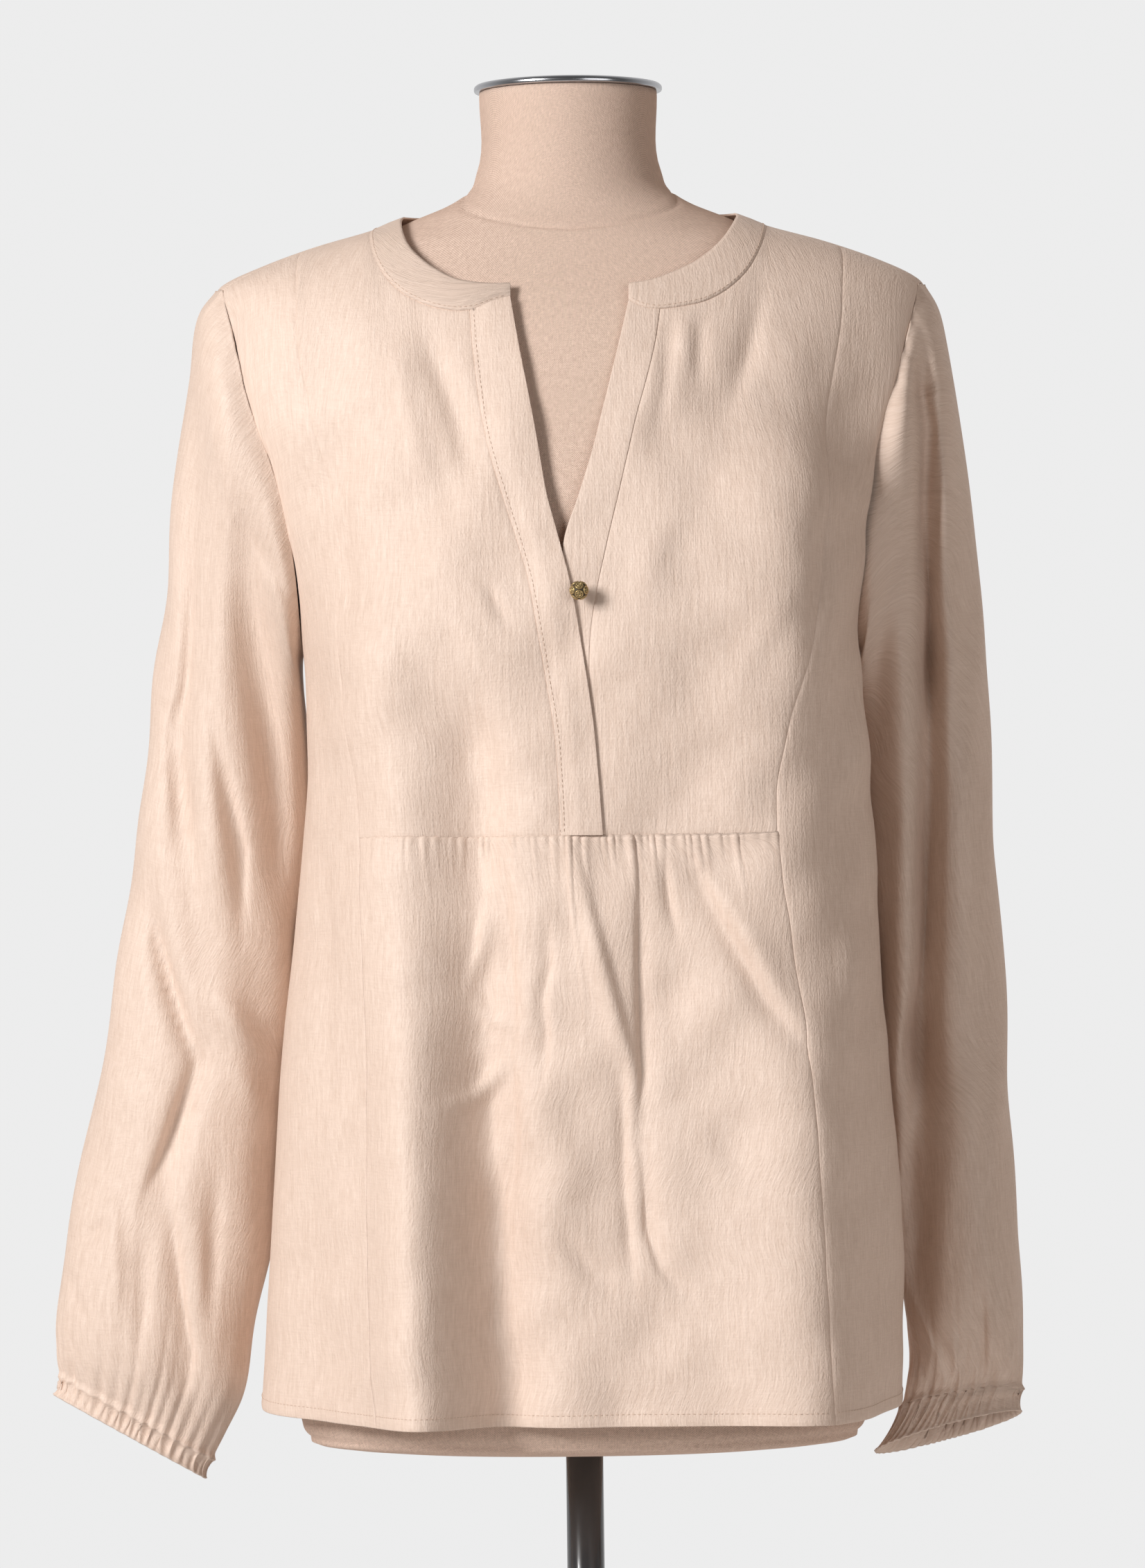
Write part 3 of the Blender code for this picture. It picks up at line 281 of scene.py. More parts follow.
LEFT_SLEEVE_CREASES = table(Crease,
    (((196, 1404), (194, 1370), (201, 1345), (197, 1294), (204, 1200)), 5, 3, -2.6),
    (((202, 1190), (198, 1106), (197, 1073), (191, 1018), (183, 985)), 6, 3, -2.4),
    (((209, 1338), (206, 1270), (206, 1195)), 3, 6, 2.2),
    (((218, 1330), (225, 1258), (229, 1228)), 5, 5, -1.5),
    (((213, 1372), (201, 1367), (188, 1362)), 4, 4, -1.4),
    (((188, 1020), (181, 974), (179, 950)), 4, 4, -1.8),
    (((190, 975), (191, 918), (183, 872)), 5, 4, 2.2),
    (((183, 864), (189, 845), (199, 821), (206, 804)), 3, 3, 2.0),
    (((180, 845), (186, 827), (193, 811), (197, 799)), 3, 3, -1.7),
    (((207, 835), (210, 818), (213, 801)), 3, 3, 1.7), (((246, 835), (241, 820), (236, 804)), 3, 3, 1.7),
    (((224, 860), (225, 830), (226, 806)), 4, 3, -1.7),
    (((222, 1120), (216, 1060), (220, 1000)), 7, 6, 1.2),
    (((232, 1010), (226, 960), (230, 900)), 6, 6, -1.3))

YOKE_SEAM = 1117.5
HEM_STITCHES, BAND_STITCHES, NECK_STITCHES = 6.8, 2.2, 2.0
HEM_RISE, HEM_TOP, HEM_STEP, HEM_GROOVE, HEM_GROOVE_WIDE = 0.35, 8.5, 1.8, 0.3, 0.9
LOWER_ROWS = (0, 0.165, 0.33, 0.495, 0.655, 0.80, 0.905, 0.965, 1)
UPPER_ROWS = (0, 0.10, 0.20, 0.295, 0.385, 0.47, 0.55, 0.63, 0.71, 0.79, 0.865, 0.935, 1)
SIDE_HEM, FRONT_HEM = 801.0, 796.0
UNDERARM = (1125.0, 1172.0, 1222.0)
UNDERARM_ROW = len(LOWER_ROWS) + len(UNDERARM) - 2
PRINCESS = {
    Side.RIGHT: table(Seam, (790, -109), (860, -113), (1007, -114), (1073, -115), (1117.5, -116.5),
        (1160, -118), (1198, -122), (1244, -125.5), (1278, -128), (1307, -134), (1346, -142.5),
        (1378, -149.5), (1404, -152), (1424, -152)),
    Side.LEFT: table(Seam, (790, 123), (853, 122), (929, 119.5), (988, 116), (1042, 112), (1090, 106),
        (1117.5, 103.5), (1165, 106), (1200, 112.5), (1252, 123), (1309, 133), (1366, 143.5),
        (1400, 149.5), (1424, 151)),
}
PLACKET_SEAM = {
    Side.RIGHT: table(Seam, (1117.5, -9), (1177, -12), (1214, -18), (1254, -24), (1290, -34),
        (1309, -40), (1346, -49), (1386, -54), (1404, -55.5)),
    Side.LEFT: table(Seam, (1117.5, 9), (1165, 7.5), (1214, 8), (1236, 9.5), (1272, 17), (1309, 26),
        (1347, 35), (1379, 44), (1403, 49)),
}
PLACKET_EDGE = {
    Side.RIGHT: table(Seam, (1117.5, 14), (1176, 10), (1214, 5), (1244, 0), (1273, -6), (1290, -11),
        (1346, -21), (1413, -33)),
    Side.LEFT: table(Seam, (1117.5, -2), (1190, -4), (1250, -6), (1276, -6), (1290, -2), (1309, 5),
        (1360, 19), (1405, 30), (1415, 32)),
}
NECK_LOWER = {
    Side.RIGHT: table(NeckPoint, (-33, 1414.5), (-41, 1412.5), (-48, 1410), (-55.5, 1408), (-66, 1408),
        (-79, 1411.5), (-92, 1418), (-102, 1428), (-108.5, 1440), (-111, 1450), (-111.5, 1456.5)),
    Side.LEFT: table(NeckPoint, (32, 1412.5), (38, 1409), (43, 1407.5), (49, 1407), (61, 1408.5),
        (75, 1412), (88, 1419.5), (98.5, 1430), (105, 1441.5), (108.5, 1451), (110, 1457)),
}
NECK_UPPER = {
    Side.RIGHT: table(NeckPoint, (-33, 1422.5), (-42, 1422.5), (-49, 1423), (-56, 1424), (-64, 1426),
        (-73, 1431), (-81, 1437), (-88, 1444.5), (-91.5, 1451.5), (-93, 1457.5), (-93.5, 1462.5)),
    Side.LEFT: table(NeckPoint, (32, 1421.5), (39, 1422.5), (46, 1424), (53, 1426.5), (62, 1430.5),
        (71, 1435.5), (79, 1442), (85, 1448.5), (89, 1454.5), (91.5, 1459.5), (93, 1463.5)),
}
PLACKET_COLUMNS, YOKE_NECK_COLUMNS, SHOULDER_COLUMNS = 3, 8, 3
SHOULDER_SEAM = table(TopPoint, (194, -20), (180, -21), (166, -21), (151, -20), (138, -18), (124, -15),
    (110, -12))
NECK_TOP = TopPoint(92.5, -9)
BACK_NECK_LOWER = (SHOULDER_SEAM[-1], *table(TopPoint, (108.5, 3), (103, 20), (91, 37), (70, 52),
    (37, 65), (0, 70)))
BACK_NECK_UPPER = (NECK_TOP, *table(TopPoint, (91, 4), (85, 19), (73, 34), (54, 47.5), (28, 57.5),
    (0, 61)))
ARMHOLE_FRONT = table(ArmholeRow, (1406, -36), (1385, -44), (1361, -48), (1336, -49), (1311, -47),
    (1287, -42), (1264, -34), (1243, -23), (1229, -11))
ARMHOLE_FOOT = ArmholeRow(1222, 3)
ARMHOLE_BACK = table(ArmholeRow, (1229, 18), (1243, 32), (1264, 44), (1287, 52), (1311, 57), (1336, 59),
    (1361, 57), (1386, 50), (1409, 34))
ARMHOLE_RIDGE = TopPoint(199, 7)
SLEEVE_SECTIONS = {
    Side.RIGHT: table(Section, (-198, 1428, -152, 1222, 46, 56), (-209, 1414, -154, 1217, 50, 57),
        (-215, 1390, -154, 1210, 52, 57), (-220, 1358, -153, 1200, 52, 56),
        (-226, 1314, -151.5, 1186, 50, 54), (-232, 1262, -150.5, 1166, 48, 52),
        (-239, 1208, -151, 1138, 46, 50), (-247, 1140, -153.5, 1098, 44, 47),
        (-257, 1072, -158.5, 1046, 42, 45), (-270, 1000, -165, 986, 41, 43),
        (-283, 941, -171, 930, 40, 42), (-292, 886, -178, 878, 39, 41), (-299, 850, -186, 838, 37, 38),
        (-299, 832, -193, 808, 33, 34), (-298, 822, -203, 784, 26, 27), (-296, 816, -211, 768, 20, 21)),
    Side.LEFT: table(Section, (198, 1428, 157, 1222, 46, 56), (207, 1413, 160, 1217, 50, 57),
        (213, 1392, 158.5, 1210, 52, 57), (219, 1360, 157, 1200, 52, 56),
        (226, 1312, 156.5, 1186, 50, 54), (230.5, 1262, 157.5, 1166, 48, 52),
        (233, 1202, 160, 1138, 46, 50), (237, 1136, 162, 1098, 44, 47), (239.5, 1070, 166, 1046, 42, 45),
        (242, 1000, 171, 986, 41, 43), (245, 941, 176, 930, 40, 42), (248, 886, 180, 878, 40, 41),
        (249.5, 850, 181.5, 842, 38, 39), (249.5, 827, 184, 822, 34, 35), (249, 812, 183, 807, 28, 30),
        (248, 802, 180.5, 792.5, 22, 26)),
}
CUFF_END = {
    Side.RIGHT: Section(-301, 806, -214, 757, 19, 20),
    Side.LEFT: Section(248.5, 789, 164, 768, 23, 27),
}
BACK_DROP = {Side.RIGHT: 3.0, Side.LEFT: 13.0}
DROP_START = 0.7
SLEEVE_SWING, SWING_START, SWING_REACH = 34.0, 0.06, 0.28
SLEEVE_FOLDS = {Side.RIGHT: RIGHT_SLEEVE_FOLDS, Side.LEFT: LEFT_SLEEVE_FOLDS}
SLEEVE_CREASES = {Side.RIGHT: RIGHT_SLEEVE_CREASES, Side.LEFT: LEFT_SLEEVE_CREASES}
SPINE_BEND, SPINE_TOP, SPINE_REACH, SPINE_SHARE = 1250.0, 50.0, 150.0, 0.75


def smooth(knots: Any, values: Any, at: Any) -> Array:
    """A cubic through the knots, its slope at each knot taken from the two neighbours.

    Args:
        knots: rising places of the values.
        values: one number or one row of numbers a knot.
        at: where to read the cubic.

    Returns:
        The values there, one row for each place where the values are rows.
    """
    knots, values = np.asarray(knots, float), np.asarray(values, float)
    slopes = np.gradient(values, knots, axis=0)
    at = np.clip(at, knots[0], knots[-1])
    i = np.clip(np.searchsorted(knots, at) - 1, 0, len(knots) - 2)
    step = knots[i + 1] - knots[i]
    t = (at - knots[i]) / step
    if values.ndim > 1:
        step, t = step[:, None], t[:, None]
    rise = 3 * t ** 2 - 2 * t ** 3
    return (values[i] * (1 - rise) + values[i + 1] * rise
            + step * (t * (1 - t) ** 2 * slopes[i] - t ** 2 * (1 - t) * slopes[i + 1]))


def ease(t: Any) -> Array:
    """A soft step: 3 t squared less 2 t cubed, between 0 and 1.

    Args:
        t: any numbers.

    Returns:
        Numbers from 0 to 1.
    """
    t = np.clip(t, 0, 1)
    return t * t * (3 - 2 * t)


def column(rows: Sequence[Any], name: str) -> Array:
    """One named column of a table."""
    return np.array([getattr(row, name) for row in rows], float)


def unit(vectors: Array) -> Array:
    """The vectors at length one."""
    return vectors / np.maximum(np.linalg.norm(vectors, axis=-1, keepdims=True), 1e-9)


def running(steps: Array) -> Array:
    """The running total of steps, from zero."""
    return np.concatenate([[0], np.cumsum(steps)])


def mean_steps(grid: Array, axis: int) -> Array:
    """The mean distance from each of a grid's lines to the next."""
    return np.linalg.norm(np.diff(grid, axis=axis), axis=-1).mean(1 - axis)


def arc(grid: Array, axis: int) -> Array:
    """The running length along a grid's rows or columns, from zero at their start.

    Args:
        grid: points as rows by columns by 3.
        axis: 0 along columns, 1 along rows.

    Returns:
        One length a point.
    """
    steps = np.linalg.norm(np.diff(grid, axis=axis), axis=-1)
    pad = [(1, 0), (0, 0)] if axis == 0 else [(0, 0), (1, 0)]
    return np.cumsum(np.pad(steps, pad), axis=axis)


@dataclass(frozen=True)
class RingSurface:
    """A body made of level rings. A ring is |x / width| to a power plus |y / depth| to the same
    power, equal to one, with its own width to each side and its own depth front and back."""

    rings: tuple[Ring, ...]

    def read(self, name: str, z: Array) -> Array:
        """One column of the rings at given heights."""
        return smooth(column(self.rings, "height"), column(self.rings, name), z)

    def sizes(self, x: Array, y: Array, z: Array) -> tuple[Array, ...]:
        """Half width, half depth and squareness of the ring through each point.

        Args:
            x, y, z: the points' places across, in depth and up.

        Returns:
            Three arrays of sizes.
        """
        wide = np.where(x < 0, self.read("right", z), self.read("left", z))
        deep = np.where(y < 0, self.read("front", z), self.read("back", z))
        return wide, deep, self.read("power", z)

    def outsideness(self, points: Array) -> Array:
        """The ring formula's value: below 1 inside the surface, above 1 outside it.

        Args:
            points: points in millimetres.

        Returns:
            One number a point.
        """
        x, y, z = np.moveaxis(points, -1, 0)
        wide, deep, power = self.sizes(x, y, z)
        return (np.abs(x) / wide) ** power + (np.abs(y) / deep) ** power

    def outward(self, points: Array) -> Array:
        """Unit normals, from the formula's small differences along each axis."""
        ways = NORMAL_STEP * np.eye(3)
        return unit(np.stack([self.outsideness(points + way) - self.outsideness(points - way)
                              for way in ways], -1))

    def between(self, inside: Array, outside: Array) -> Array:
        """The surface's points between two sets, by halving the stretch again and again.

        Args:
            inside, outside: matching points within and beyond the surface.

        Returns:
            The points between them that lie on it.
        """
        for _ in range(HALVINGS):
            middle = (inside + outside) / 2
            within = (self.outsideness(middle) < 1)[..., None]
            inside, outside = np.where(within, middle, inside), np.where(within, outside, middle)
        return (inside + outside) / 2

    def drape(self, points: Array) -> Array:
        """Points moved along rays from the body's spine until they lie on the surface. The spine
        is upright to the chest and leans out towards each shoulder above it.

        Args:
            points: points near the surface.

        Returns:
            The same points on it.
        """
        x, z = points[..., 0], points[..., 2]
        over = np.maximum(z - SPINE_BEND, 0)
        spine = np.zeros_like(points)
        spine[..., 0] = SPINE_SHARE * x * ease(over / SPINE_REACH)
        spine[..., 2] = np.minimum(z, SPINE_BEND) + SPINE_TOP * (1 - np.exp(-over / SPINE_TOP))
        ray = points - spine
        return self.between(spine + RAY_NEAR * ray, spine + RAY_FAR * ray)

    def drape_level(self, points: Array) -> Array:
        """Points moved level, along rays from the axis, until they lie on the surface."""
        axis = points * (0, 0, 1)
        return self.between(axis, axis + (points - axis) * (LEVEL_REACH, LEVEL_REACH, 1))

    def at_height(self, across: Any, height: Any, face: Face) -> Array:
        """Surface points of one face at given places across and up: the ring formula
        solved for the depth.

        Args:
            across, height: places across and up.
            face: the front or the back.

        Returns:
            One point of the surface for each.
        """
        across, height = np.broadcast_arrays(np.asarray(across, float), np.asarray(height, float))
        wide, deep, power = self.sizes(across, np.full(across.shape, float(face.value)), height)
        inner = np.clip(1 - (np.abs(across) / wide) ** power, 0, 1)
        return np.stack([across, face.value * deep * inner ** (1 / power), height], -1)

    def at_depth(self, side: Side, depth: Any, height: Any) -> Array:
        """Surface points of one side at given depths and heights: the ring formula solved
        for the place across.

        Args:
            side: the wearer's side.
            depth, height: places in depth and up.

        Returns:
            One point of the surface for each.
        """
        depth, height = np.broadcast_arrays(np.asarray(depth, float), np.asarray(height, float))
        wide, deep, power = self.sizes(np.full(depth.shape, float(side.value)), depth, height)
        inner = np.clip(1 - (np.abs(depth) / deep) ** power, 0, 1)
        return np.stack([side.value * wide * inner ** (1 / power), depth, height], -1)

    def on_top(self, across: Any, depth: Any) -> Array:
        """Surface points of the shoulder slope, straight above given places.

        Args:
            across, depth: places seen from above.

        Returns:
            One point of the surface for each.
        """
        low = np.stack([np.asarray(across, float), np.asarray(depth, float),
                        np.full(len(across), SLOPE_LOW)], -1)
        return self.between(low, low + (0, 0, SLOPE_HIGH - SLOPE_LOW))


CLOTH_BODY = RingSurface(CLOTH_RINGS)
FORM_BODY = RingSurface(FORM_RINGS)


def hump_relief(humps: Sequence[Hump], points: Array) -> Array:
    """Height of a soft fullness: a round bell curve at each hump, gone behind the side seam.

    Args:
        humps: the fullnesses.
        points: points of the surface.

    Returns:
        One height in millimetres a point.
    """
    x, y, z = np.moveaxis(points, -1, 0)
    bells = sum(hump.out * np.exp(-((x - hump.across) / hump.wide) ** 2
                                  - ((z - hump.height) / hump.tall) ** 2) for hump in humps)
    return bells * ease(0.5 - y / BUST_FADE)


def fold_relief(folds: Sequence[Fold], x: Array, z: Array) -> Array:
    """Height of the broad folds: a bell curve across each, fading in and out along it.

    Args:
        folds: the folds of one face.
        x, z: the points' places across and up.

    Returns:
        One height in millimetres a point.
    """
    relief = np.zeros_like(x)
    for fold in folds:
        length = fold.top_z - fold.foot_z
        down = (fold.top_z - z) / length
        middle = fold.top_x + (fold.foot_x - fold.top_x) * np.clip(down, 0, 1)
        if fold.at_hem:
            strength = ease(down)
        else:
            strength = ease(down * length / FOLD_FADE + 0.5) * ease((1 - down) * length / FOLD_FADE + 0.5)
        relief = relief + fold.out * strength * np.exp(-((x - middle) / fold.wide) ** 2)
    return relief


def crease_relief(creases: Sequence[Crease], x: Array, z: Array) -> Array:
    """Height of the narrow creases.

    Each stretch of a crease's line gives every point its nearest distance. The height is a bell
    curve of that distance, with the width of the side that the point is on, times a half sine
    along the line, so a crease starts and ends softly.

    Args:
        creases: the creases of one face.
        x, z: the points' places across and up.

    Returns:
        One height in millimetres a point.
    """
    relief = np.zeros_like(x)
    for crease in creases:
        path = np.array(crease.path, float)
        lengths = np.linalg.norm(np.diff(path, axis=0), axis=1)
        starts, total = running(lengths), lengths.sum()
        best, along = np.full(x.shape, 1e9), np.zeros_like(x)
        sign = np.zeros_like(x)
        for start, (a, b), length in zip(starts, zip(path, path[1:]), lengths):
            way = (b - a) / length
            t = np.clip((x - a[0]) * way[0] + (z - a[1]) * way[1], 0, length)
            dx, dz = x - a[0] - t * way[0], z - a[1] - t * way[1]
            gap = np.hypot(dx, dz)
            nearer = gap < best
            best, along = np.where(nearer, gap, best), np.where(nearer, start + t, along)
            sign = np.where(nearer, way[0] * dz - way[1] * dx, sign)
        wide = np.where(sign > 0, crease.right, crease.left)
        place = np.clip(along / total, CREASE_END, 1 - CREASE_END)
        strength = CREASE_RISE * crease.out * np.sin(np.pi * place) ** CREASE_POWER
        relief = relief + strength * np.exp(-(best / wide) ** 2)
    return relief


def crumple(x: Array, z: Array, seed: int, out: float) -> Array:
    """The soft unevenness of worn cloth: a sum of level waves of drawn length, lean and phase,
    most of them running up and down, the long ones higher.

    Args:
        x, z: the points' places across and up.
        seed: the draw's seed.
        out: how far it stands out.

    Returns:
        One height in millimetres a point.
    """
    draw = np.random.default_rng(seed)
    relief = np.zeros_like(x)
    for _ in range(CRUMPLE_WAVES):
        length, lean = draw.uniform(*CRUMPLE_LENGTHS), draw.normal(0, CRUMPLE_LEAN)
        phase = draw.uniform(0, 2 * np.pi)
        turns = (x * math.cos(lean) + z * math.sin(lean)) / length
        relief += (length / CRUMPLE_LENGTHS[1]) * np.sin(2 * np.pi * turns + phase)
    return out * relief / 3


def tube_crumple(turn: Array, run: Array, seed: int, out: float) -> Array:
    """The soft unevenness of a tube: a sum of waves, each with a drawn whole number of turns
    round it, so that it closes, and a drawn length along it.

    Args:
        turn: each column's turn round the tube.
        run: length along the tube.
        seed: the draw's seed.
        out: how far it stands out.

    Returns:
        One height in millimetres a point.
    """
    draw = np.random.default_rng(seed)
    relief = np.zeros(run.shape)
    for _ in range(CRUMPLE_WAVES):
        times, length = draw.integers(-TUBE_TURNS, TUBE_TURNS + 1), draw.uniform(*TUBE_LENGTHS)
        phase = draw.uniform(0, 2 * np.pi)
        relief += np.sin(times * turn + 2 * np.pi * run / length + phase) / (1 + abs(times) / 4)
    return out * relief / 3


def body_relief(points: Array) -> Array:
    """Height of the worn cloth over the rings: bust, folds, creases and unevenness, those of
    each face fading out towards the sides.

    Args:
        points: points of the ring surface.

    Returns:
        One height in millimetres a point.
    """
    x, y, z = np.moveaxis(points, -1, 0)
    front, back = ease(-y / FACE_FADE), ease(y / FACE_FADE)
    relief = hump_relief(BUST, points)
    relief = relief + front * crease_relief(FRONT_CREASES, x, z) + back * crease_relief(BACK_CREASES, x, z)
    uneven = front * crumple(x, z, 3, CRUMPLE_OUT) + back * crumple(x, z, 8, CRUMPLE_OUT)
    return relief + ease((CRUMPLE_TOP - z) / CRUMPLE_REACH) * uneven


def moved_out(points: Array, lift: Any = 0.0) -> Array:
    """Ring surface points moved out along the normals by the worn cloth's height and a lift, and
    by the folds halfway between the normals and straight to the front or the back.

    Args:
        points: points of the ring surface.
        lift: a further height for each.

    Returns:
        The moved points.
    """
    x, y, z = np.moveaxis(points, -1, 0)
    out = CLOTH_BODY.outward(points)
    folds = (fold_relief(FRONT_FOLDS, x, z) * ease(-y / FACE_FADE)
             + fold_relief(BACK_FOLDS, x, z) * ease(y / FACE_FADE))
    lean = unit(out + np.sign(y)[..., None] * (0, 1, 0))
    return points + (body_relief(points) + lift)[..., None] * out + folds[..., None] * lean


def inset_edge(edge: Array, inner: Array, amount: float, closed: bool = False) -> Array:
    """One edge's points moved towards the inside of their piece, square to the edge.

    Args:
        edge: the edge's points.
        inner: the next line of points.
        amount: how far.
        closed: whether the edge is a loop.

    Returns:
        The moved edge.
    """
    along = np.gradient(edge, axis=0)
    if closed:
        along[0] = along[-1] = edge[1] - edge[-2]
    along = unit(along)
    inside = inner - edge
    inside = inside - (inside * along).sum(-1, keepdims=True) * along
    return edge + amount * unit(inside)


def inset(grid: Array, amount: float = SEAM_INSET) -> Array:
    """A grid with all four edges drawn in, to leave the seam's gap.

    Args:
        grid: points as rows by columns by 3.
        amount: how far each edge moves.

    Returns:
        The grid with moved edges.
    """
    out = grid.copy()
    for old, new in ((grid, out), (grid.swapaxes(0, 1), out.swapaxes(0, 1))):
        for edge, inner in ((0, 1), (-1, -2)):
            new[edge] += inset_edge(old[edge], old[inner], amount) - old[edge]
    return out


def patch(low: Array, high: Array, first: Array, last: Array) -> Array:
    """A coarse four-sided grid on the body between two crosswise and two upright edges.

    The two blends of opposite edges are added and the blend of the corners taken away. Four
    rounds move each inner point to the mean of its neighbours, and then it is laid on the body.

    Args:
        low, high: the bottom and top edge, left to right.
        first, last: the left and right edge, bottom to top.

    Returns:
        Points as rows by columns by 3.
    """
    v = np.linspace(0, 1, len(first))[:, None, None]
    u = np.linspace(0, 1, len(low))[None, :, None]
    across = (1 - v) * low[None] + v * high[None]
    along = (1 - u) * first[:, None] + u * last[:, None]
    corners = (1 - v) * ((1 - u) * low[0] + u * low[-1]) + v * ((1 - u) * high[0] + u * high[-1])
    grid = across + along - corners
    for _ in range(4):
        grid[0], grid[-1], grid[:, 0], grid[:, -1] = low, high, first, last
        grid[1:-1, 1:-1] = (grid[:-2, 1:-1] + grid[2:, 1:-1] + grid[1:-1, :-2] + grid[1:-1, 2:]) / 4
    grid[1:-1, 1:-1] = CLOTH_BODY.drape(grid[1:-1, 1:-1])
    return grid


def sided_patch(side: Side, low: Array, high: Array, outer: Array, inner: Array) -> Array:
    """A patch whose edges are given from the side to the middle, turned so that its columns
    run from the viewer's left to the right.

    Args:
        side: the side that it is on.
        low, high: the bottom and top edge, from the outer to the inner one.
        outer, inner: the upright edges, bottom to top.

    Returns:
        Points as rows by columns by 3.
    """
    if side is Side.RIGHT:
        return patch(low, high, outer, inner)
    return patch(low[::-1], high[::-1], inner, outer)


def places(lengths: Array, breaks: Sequence[int], spacing: float) -> Array:
    """Where a fine grid's lines fall on a coarse grid's, even between breaks and closer at
    both ends.

    Args:
        lengths: mean distance from each coarse line to the next.
        breaks: coarse lines that are kept, where an edge turns sharply.
        spacing: the wanted distance between fine lines.

    Returns:
        Places counted in coarse lines.
    """
    run = running(lengths)
    stops = [0, *breaks, len(lengths)]
    even = [np.linspace(run[a], run[b], max(2, round((run[b] - run[a]) / spacing) + 1))
            for a, b in zip(stops, stops[1:])]
    ends = np.array(EDGE_STEPS)
    at = np.unique(np.round(np.concatenate([*even, ends, run[-1] - ends]), 3))
    return np.interp(at, run, np.arange(len(run)))


def read_grid(grid: Array, rows: Array, columns: Array, row_breaks: Sequence[int] = (),
              column_breaks: Sequence[int] = ()) -> Array:
    """A coarse grid read at finer lines, by the smooth cubic between breaks along each way.

    Args:
        grid: the coarse points.
        rows, columns: where to read, in coarse lines.
        row_breaks, column_breaks: coarse lines where an edge turns sharply.

    Returns:
        The fine points.
    """
    out = grid
    for axis, (at, breaks) in enumerate(((rows, row_breaks), (columns, column_breaks))):
        out = np.moveaxis(out, axis, 0)
        flat = out.reshape(len(out), -1)
        stops = [0, *breaks, len(out) - 1]
        parts = []
        for a, b in zip(stops, stops[1:]):
            inside = at[(at >= a) & ((at < b) | (b == stops[-1]))]
            parts.append(smooth(np.arange(a, b + 1), flat[a:b + 1], inside))
        out = np.moveaxis(np.concatenate(parts).reshape(len(at), *out.shape[1:]), 0, axis)
    return out


def laid(coarse: Array, row_breaks: Sequence[int] = (), column_breaks: Sequence[int] = (),
         spacing: float = SPACING) -> Array:
    """A coarse patch made fine, its edges drawn in for the seams, and laid on the body.

    Args:
        coarse: the coarse points.
        row_breaks, column_breaks: lines that are kept.
        spacing: the wanted distance between fine lines.

    Returns:
        The fine points.
    """
    rows = places(mean_steps(coarse, 0), row_breaks, spacing)
    columns = places(mean_steps(coarse, 1), column_breaks, spacing)
    return inset(CLOTH_BODY.drape(read_grid(coarse, rows, columns, row_breaks, column_breaks)))


def edge_gap(grid: Array) -> Array:
    """Each point's distance from the nearest of its grid's four edges, along the cloth."""
    over, up = arc(grid, 1), arc(grid, 0)
    return np.minimum.reduce([over, over[:, -1:] - over, up, up[-1:] - up])


def seam_roll(grid: Array) -> Array:
    """How far a piece dips where it turns in at its seams: deepest at the edge, gone in 3 mm."""
    return -ROLL_DIP * np.exp(-edge_gap(grid) / ROLL_REACH)


def grid_normals(grid: Array, closed: bool) -> Array:
    """Unit normals of a grid, the cross product of its way along a row and up a column.

    Args:
        grid: points as rows by columns by 3.
        closed: whether its rows are loops.

    Returns:
        One unit vector a point.
    """
    over = np.gradient(grid, axis=1)
    if closed:
        over[:, 0] = over[:, -1] = grid[:, 1] - grid[:, -2]
    return unit(np.cross(over, np.gradient(grid, axis=0)))


def add_mesh(name: str, points: Array, faces: Array, material: Material, uv: Array | None = None) -> Piece:
    """Make a smooth mesh object at the origin.

    Args:
        name: the piece's name.
        points: its corners in millimetres.
        faces: corner numbers, one row a face.
        material: its finish.
        uv: one place on the cloth for each corner of each face, in metres.

    Returns:
        The new object, linked to the scene.
    """
    mesh = bpy.data.meshes.new(name)
    mesh.from_pydata((points * MM).tolist(), [], faces.tolist())
    if uv is not None:
        layer = mesh.uv_layers.new(name="cloth")
        layer.uv.foreach_set("vector", uv.astype(np.float32).ravel())
    mesh.shade_smooth()
    mesh.materials.append(material)
    piece = bpy.data.objects.new(name, mesh)
    bpy.context.scene.collection.objects.link(piece)
    return piece


def add_closed(name: str, grid: Array, material: Material, uv: Array | None = None,
               raised: Array | None = None) -> Piece:
    """Make a mesh from a grid whose last column is its first and whose end rows are points.

    Args:
        name: the piece's name.
        grid: its points in millimetres, rows by columns by 3.
        material: its finish.
        uv: each point's place on the cloth, in metres.
        raised: a value for each point, kept as the attribute "raised".

    Returns:
        The new object, its end rows merged into single points.
    """
    piece = add_mesh(name, grid[:, :-1].reshape(-1, 3), quads(*grid.shape[:2], True), material,
                     None if uv is None else corner_values(uv))
    if raised is not None:
        layer = piece.data.attributes.new("raised", "FLOAT", "POINT")
        layer.data.foreach_set("value", raised[:, :-1].ravel().astype(np.float32))
    bm = bmesh.new()
    bm.from_mesh(piece.data)
    bmesh.ops.remove_doubles(bm, verts=bm.verts, dist=1e-6)
    bm.to_mesh(piece.data)
    bm.free()
    return piece


def lathe(profile: Sequence[tuple[float, float]], steps: int) -> Array:
    """A grid of revolution about Z: each (radius, height) of the profile carried round.

    Args:
        profile: radius and height of each point.
        steps: columns round the axis.

    Returns:
        Points as rows by columns by 3, the last column on the first.
    """
    turn = np.linspace(0, 2 * np.pi, steps + 1)
    radius, height = (values[:, None] for values in np.array(profile, float).T)
    return np.stack([radius * np.cos(turn), radius * np.sin(turn), height + 0 * turn], -1)


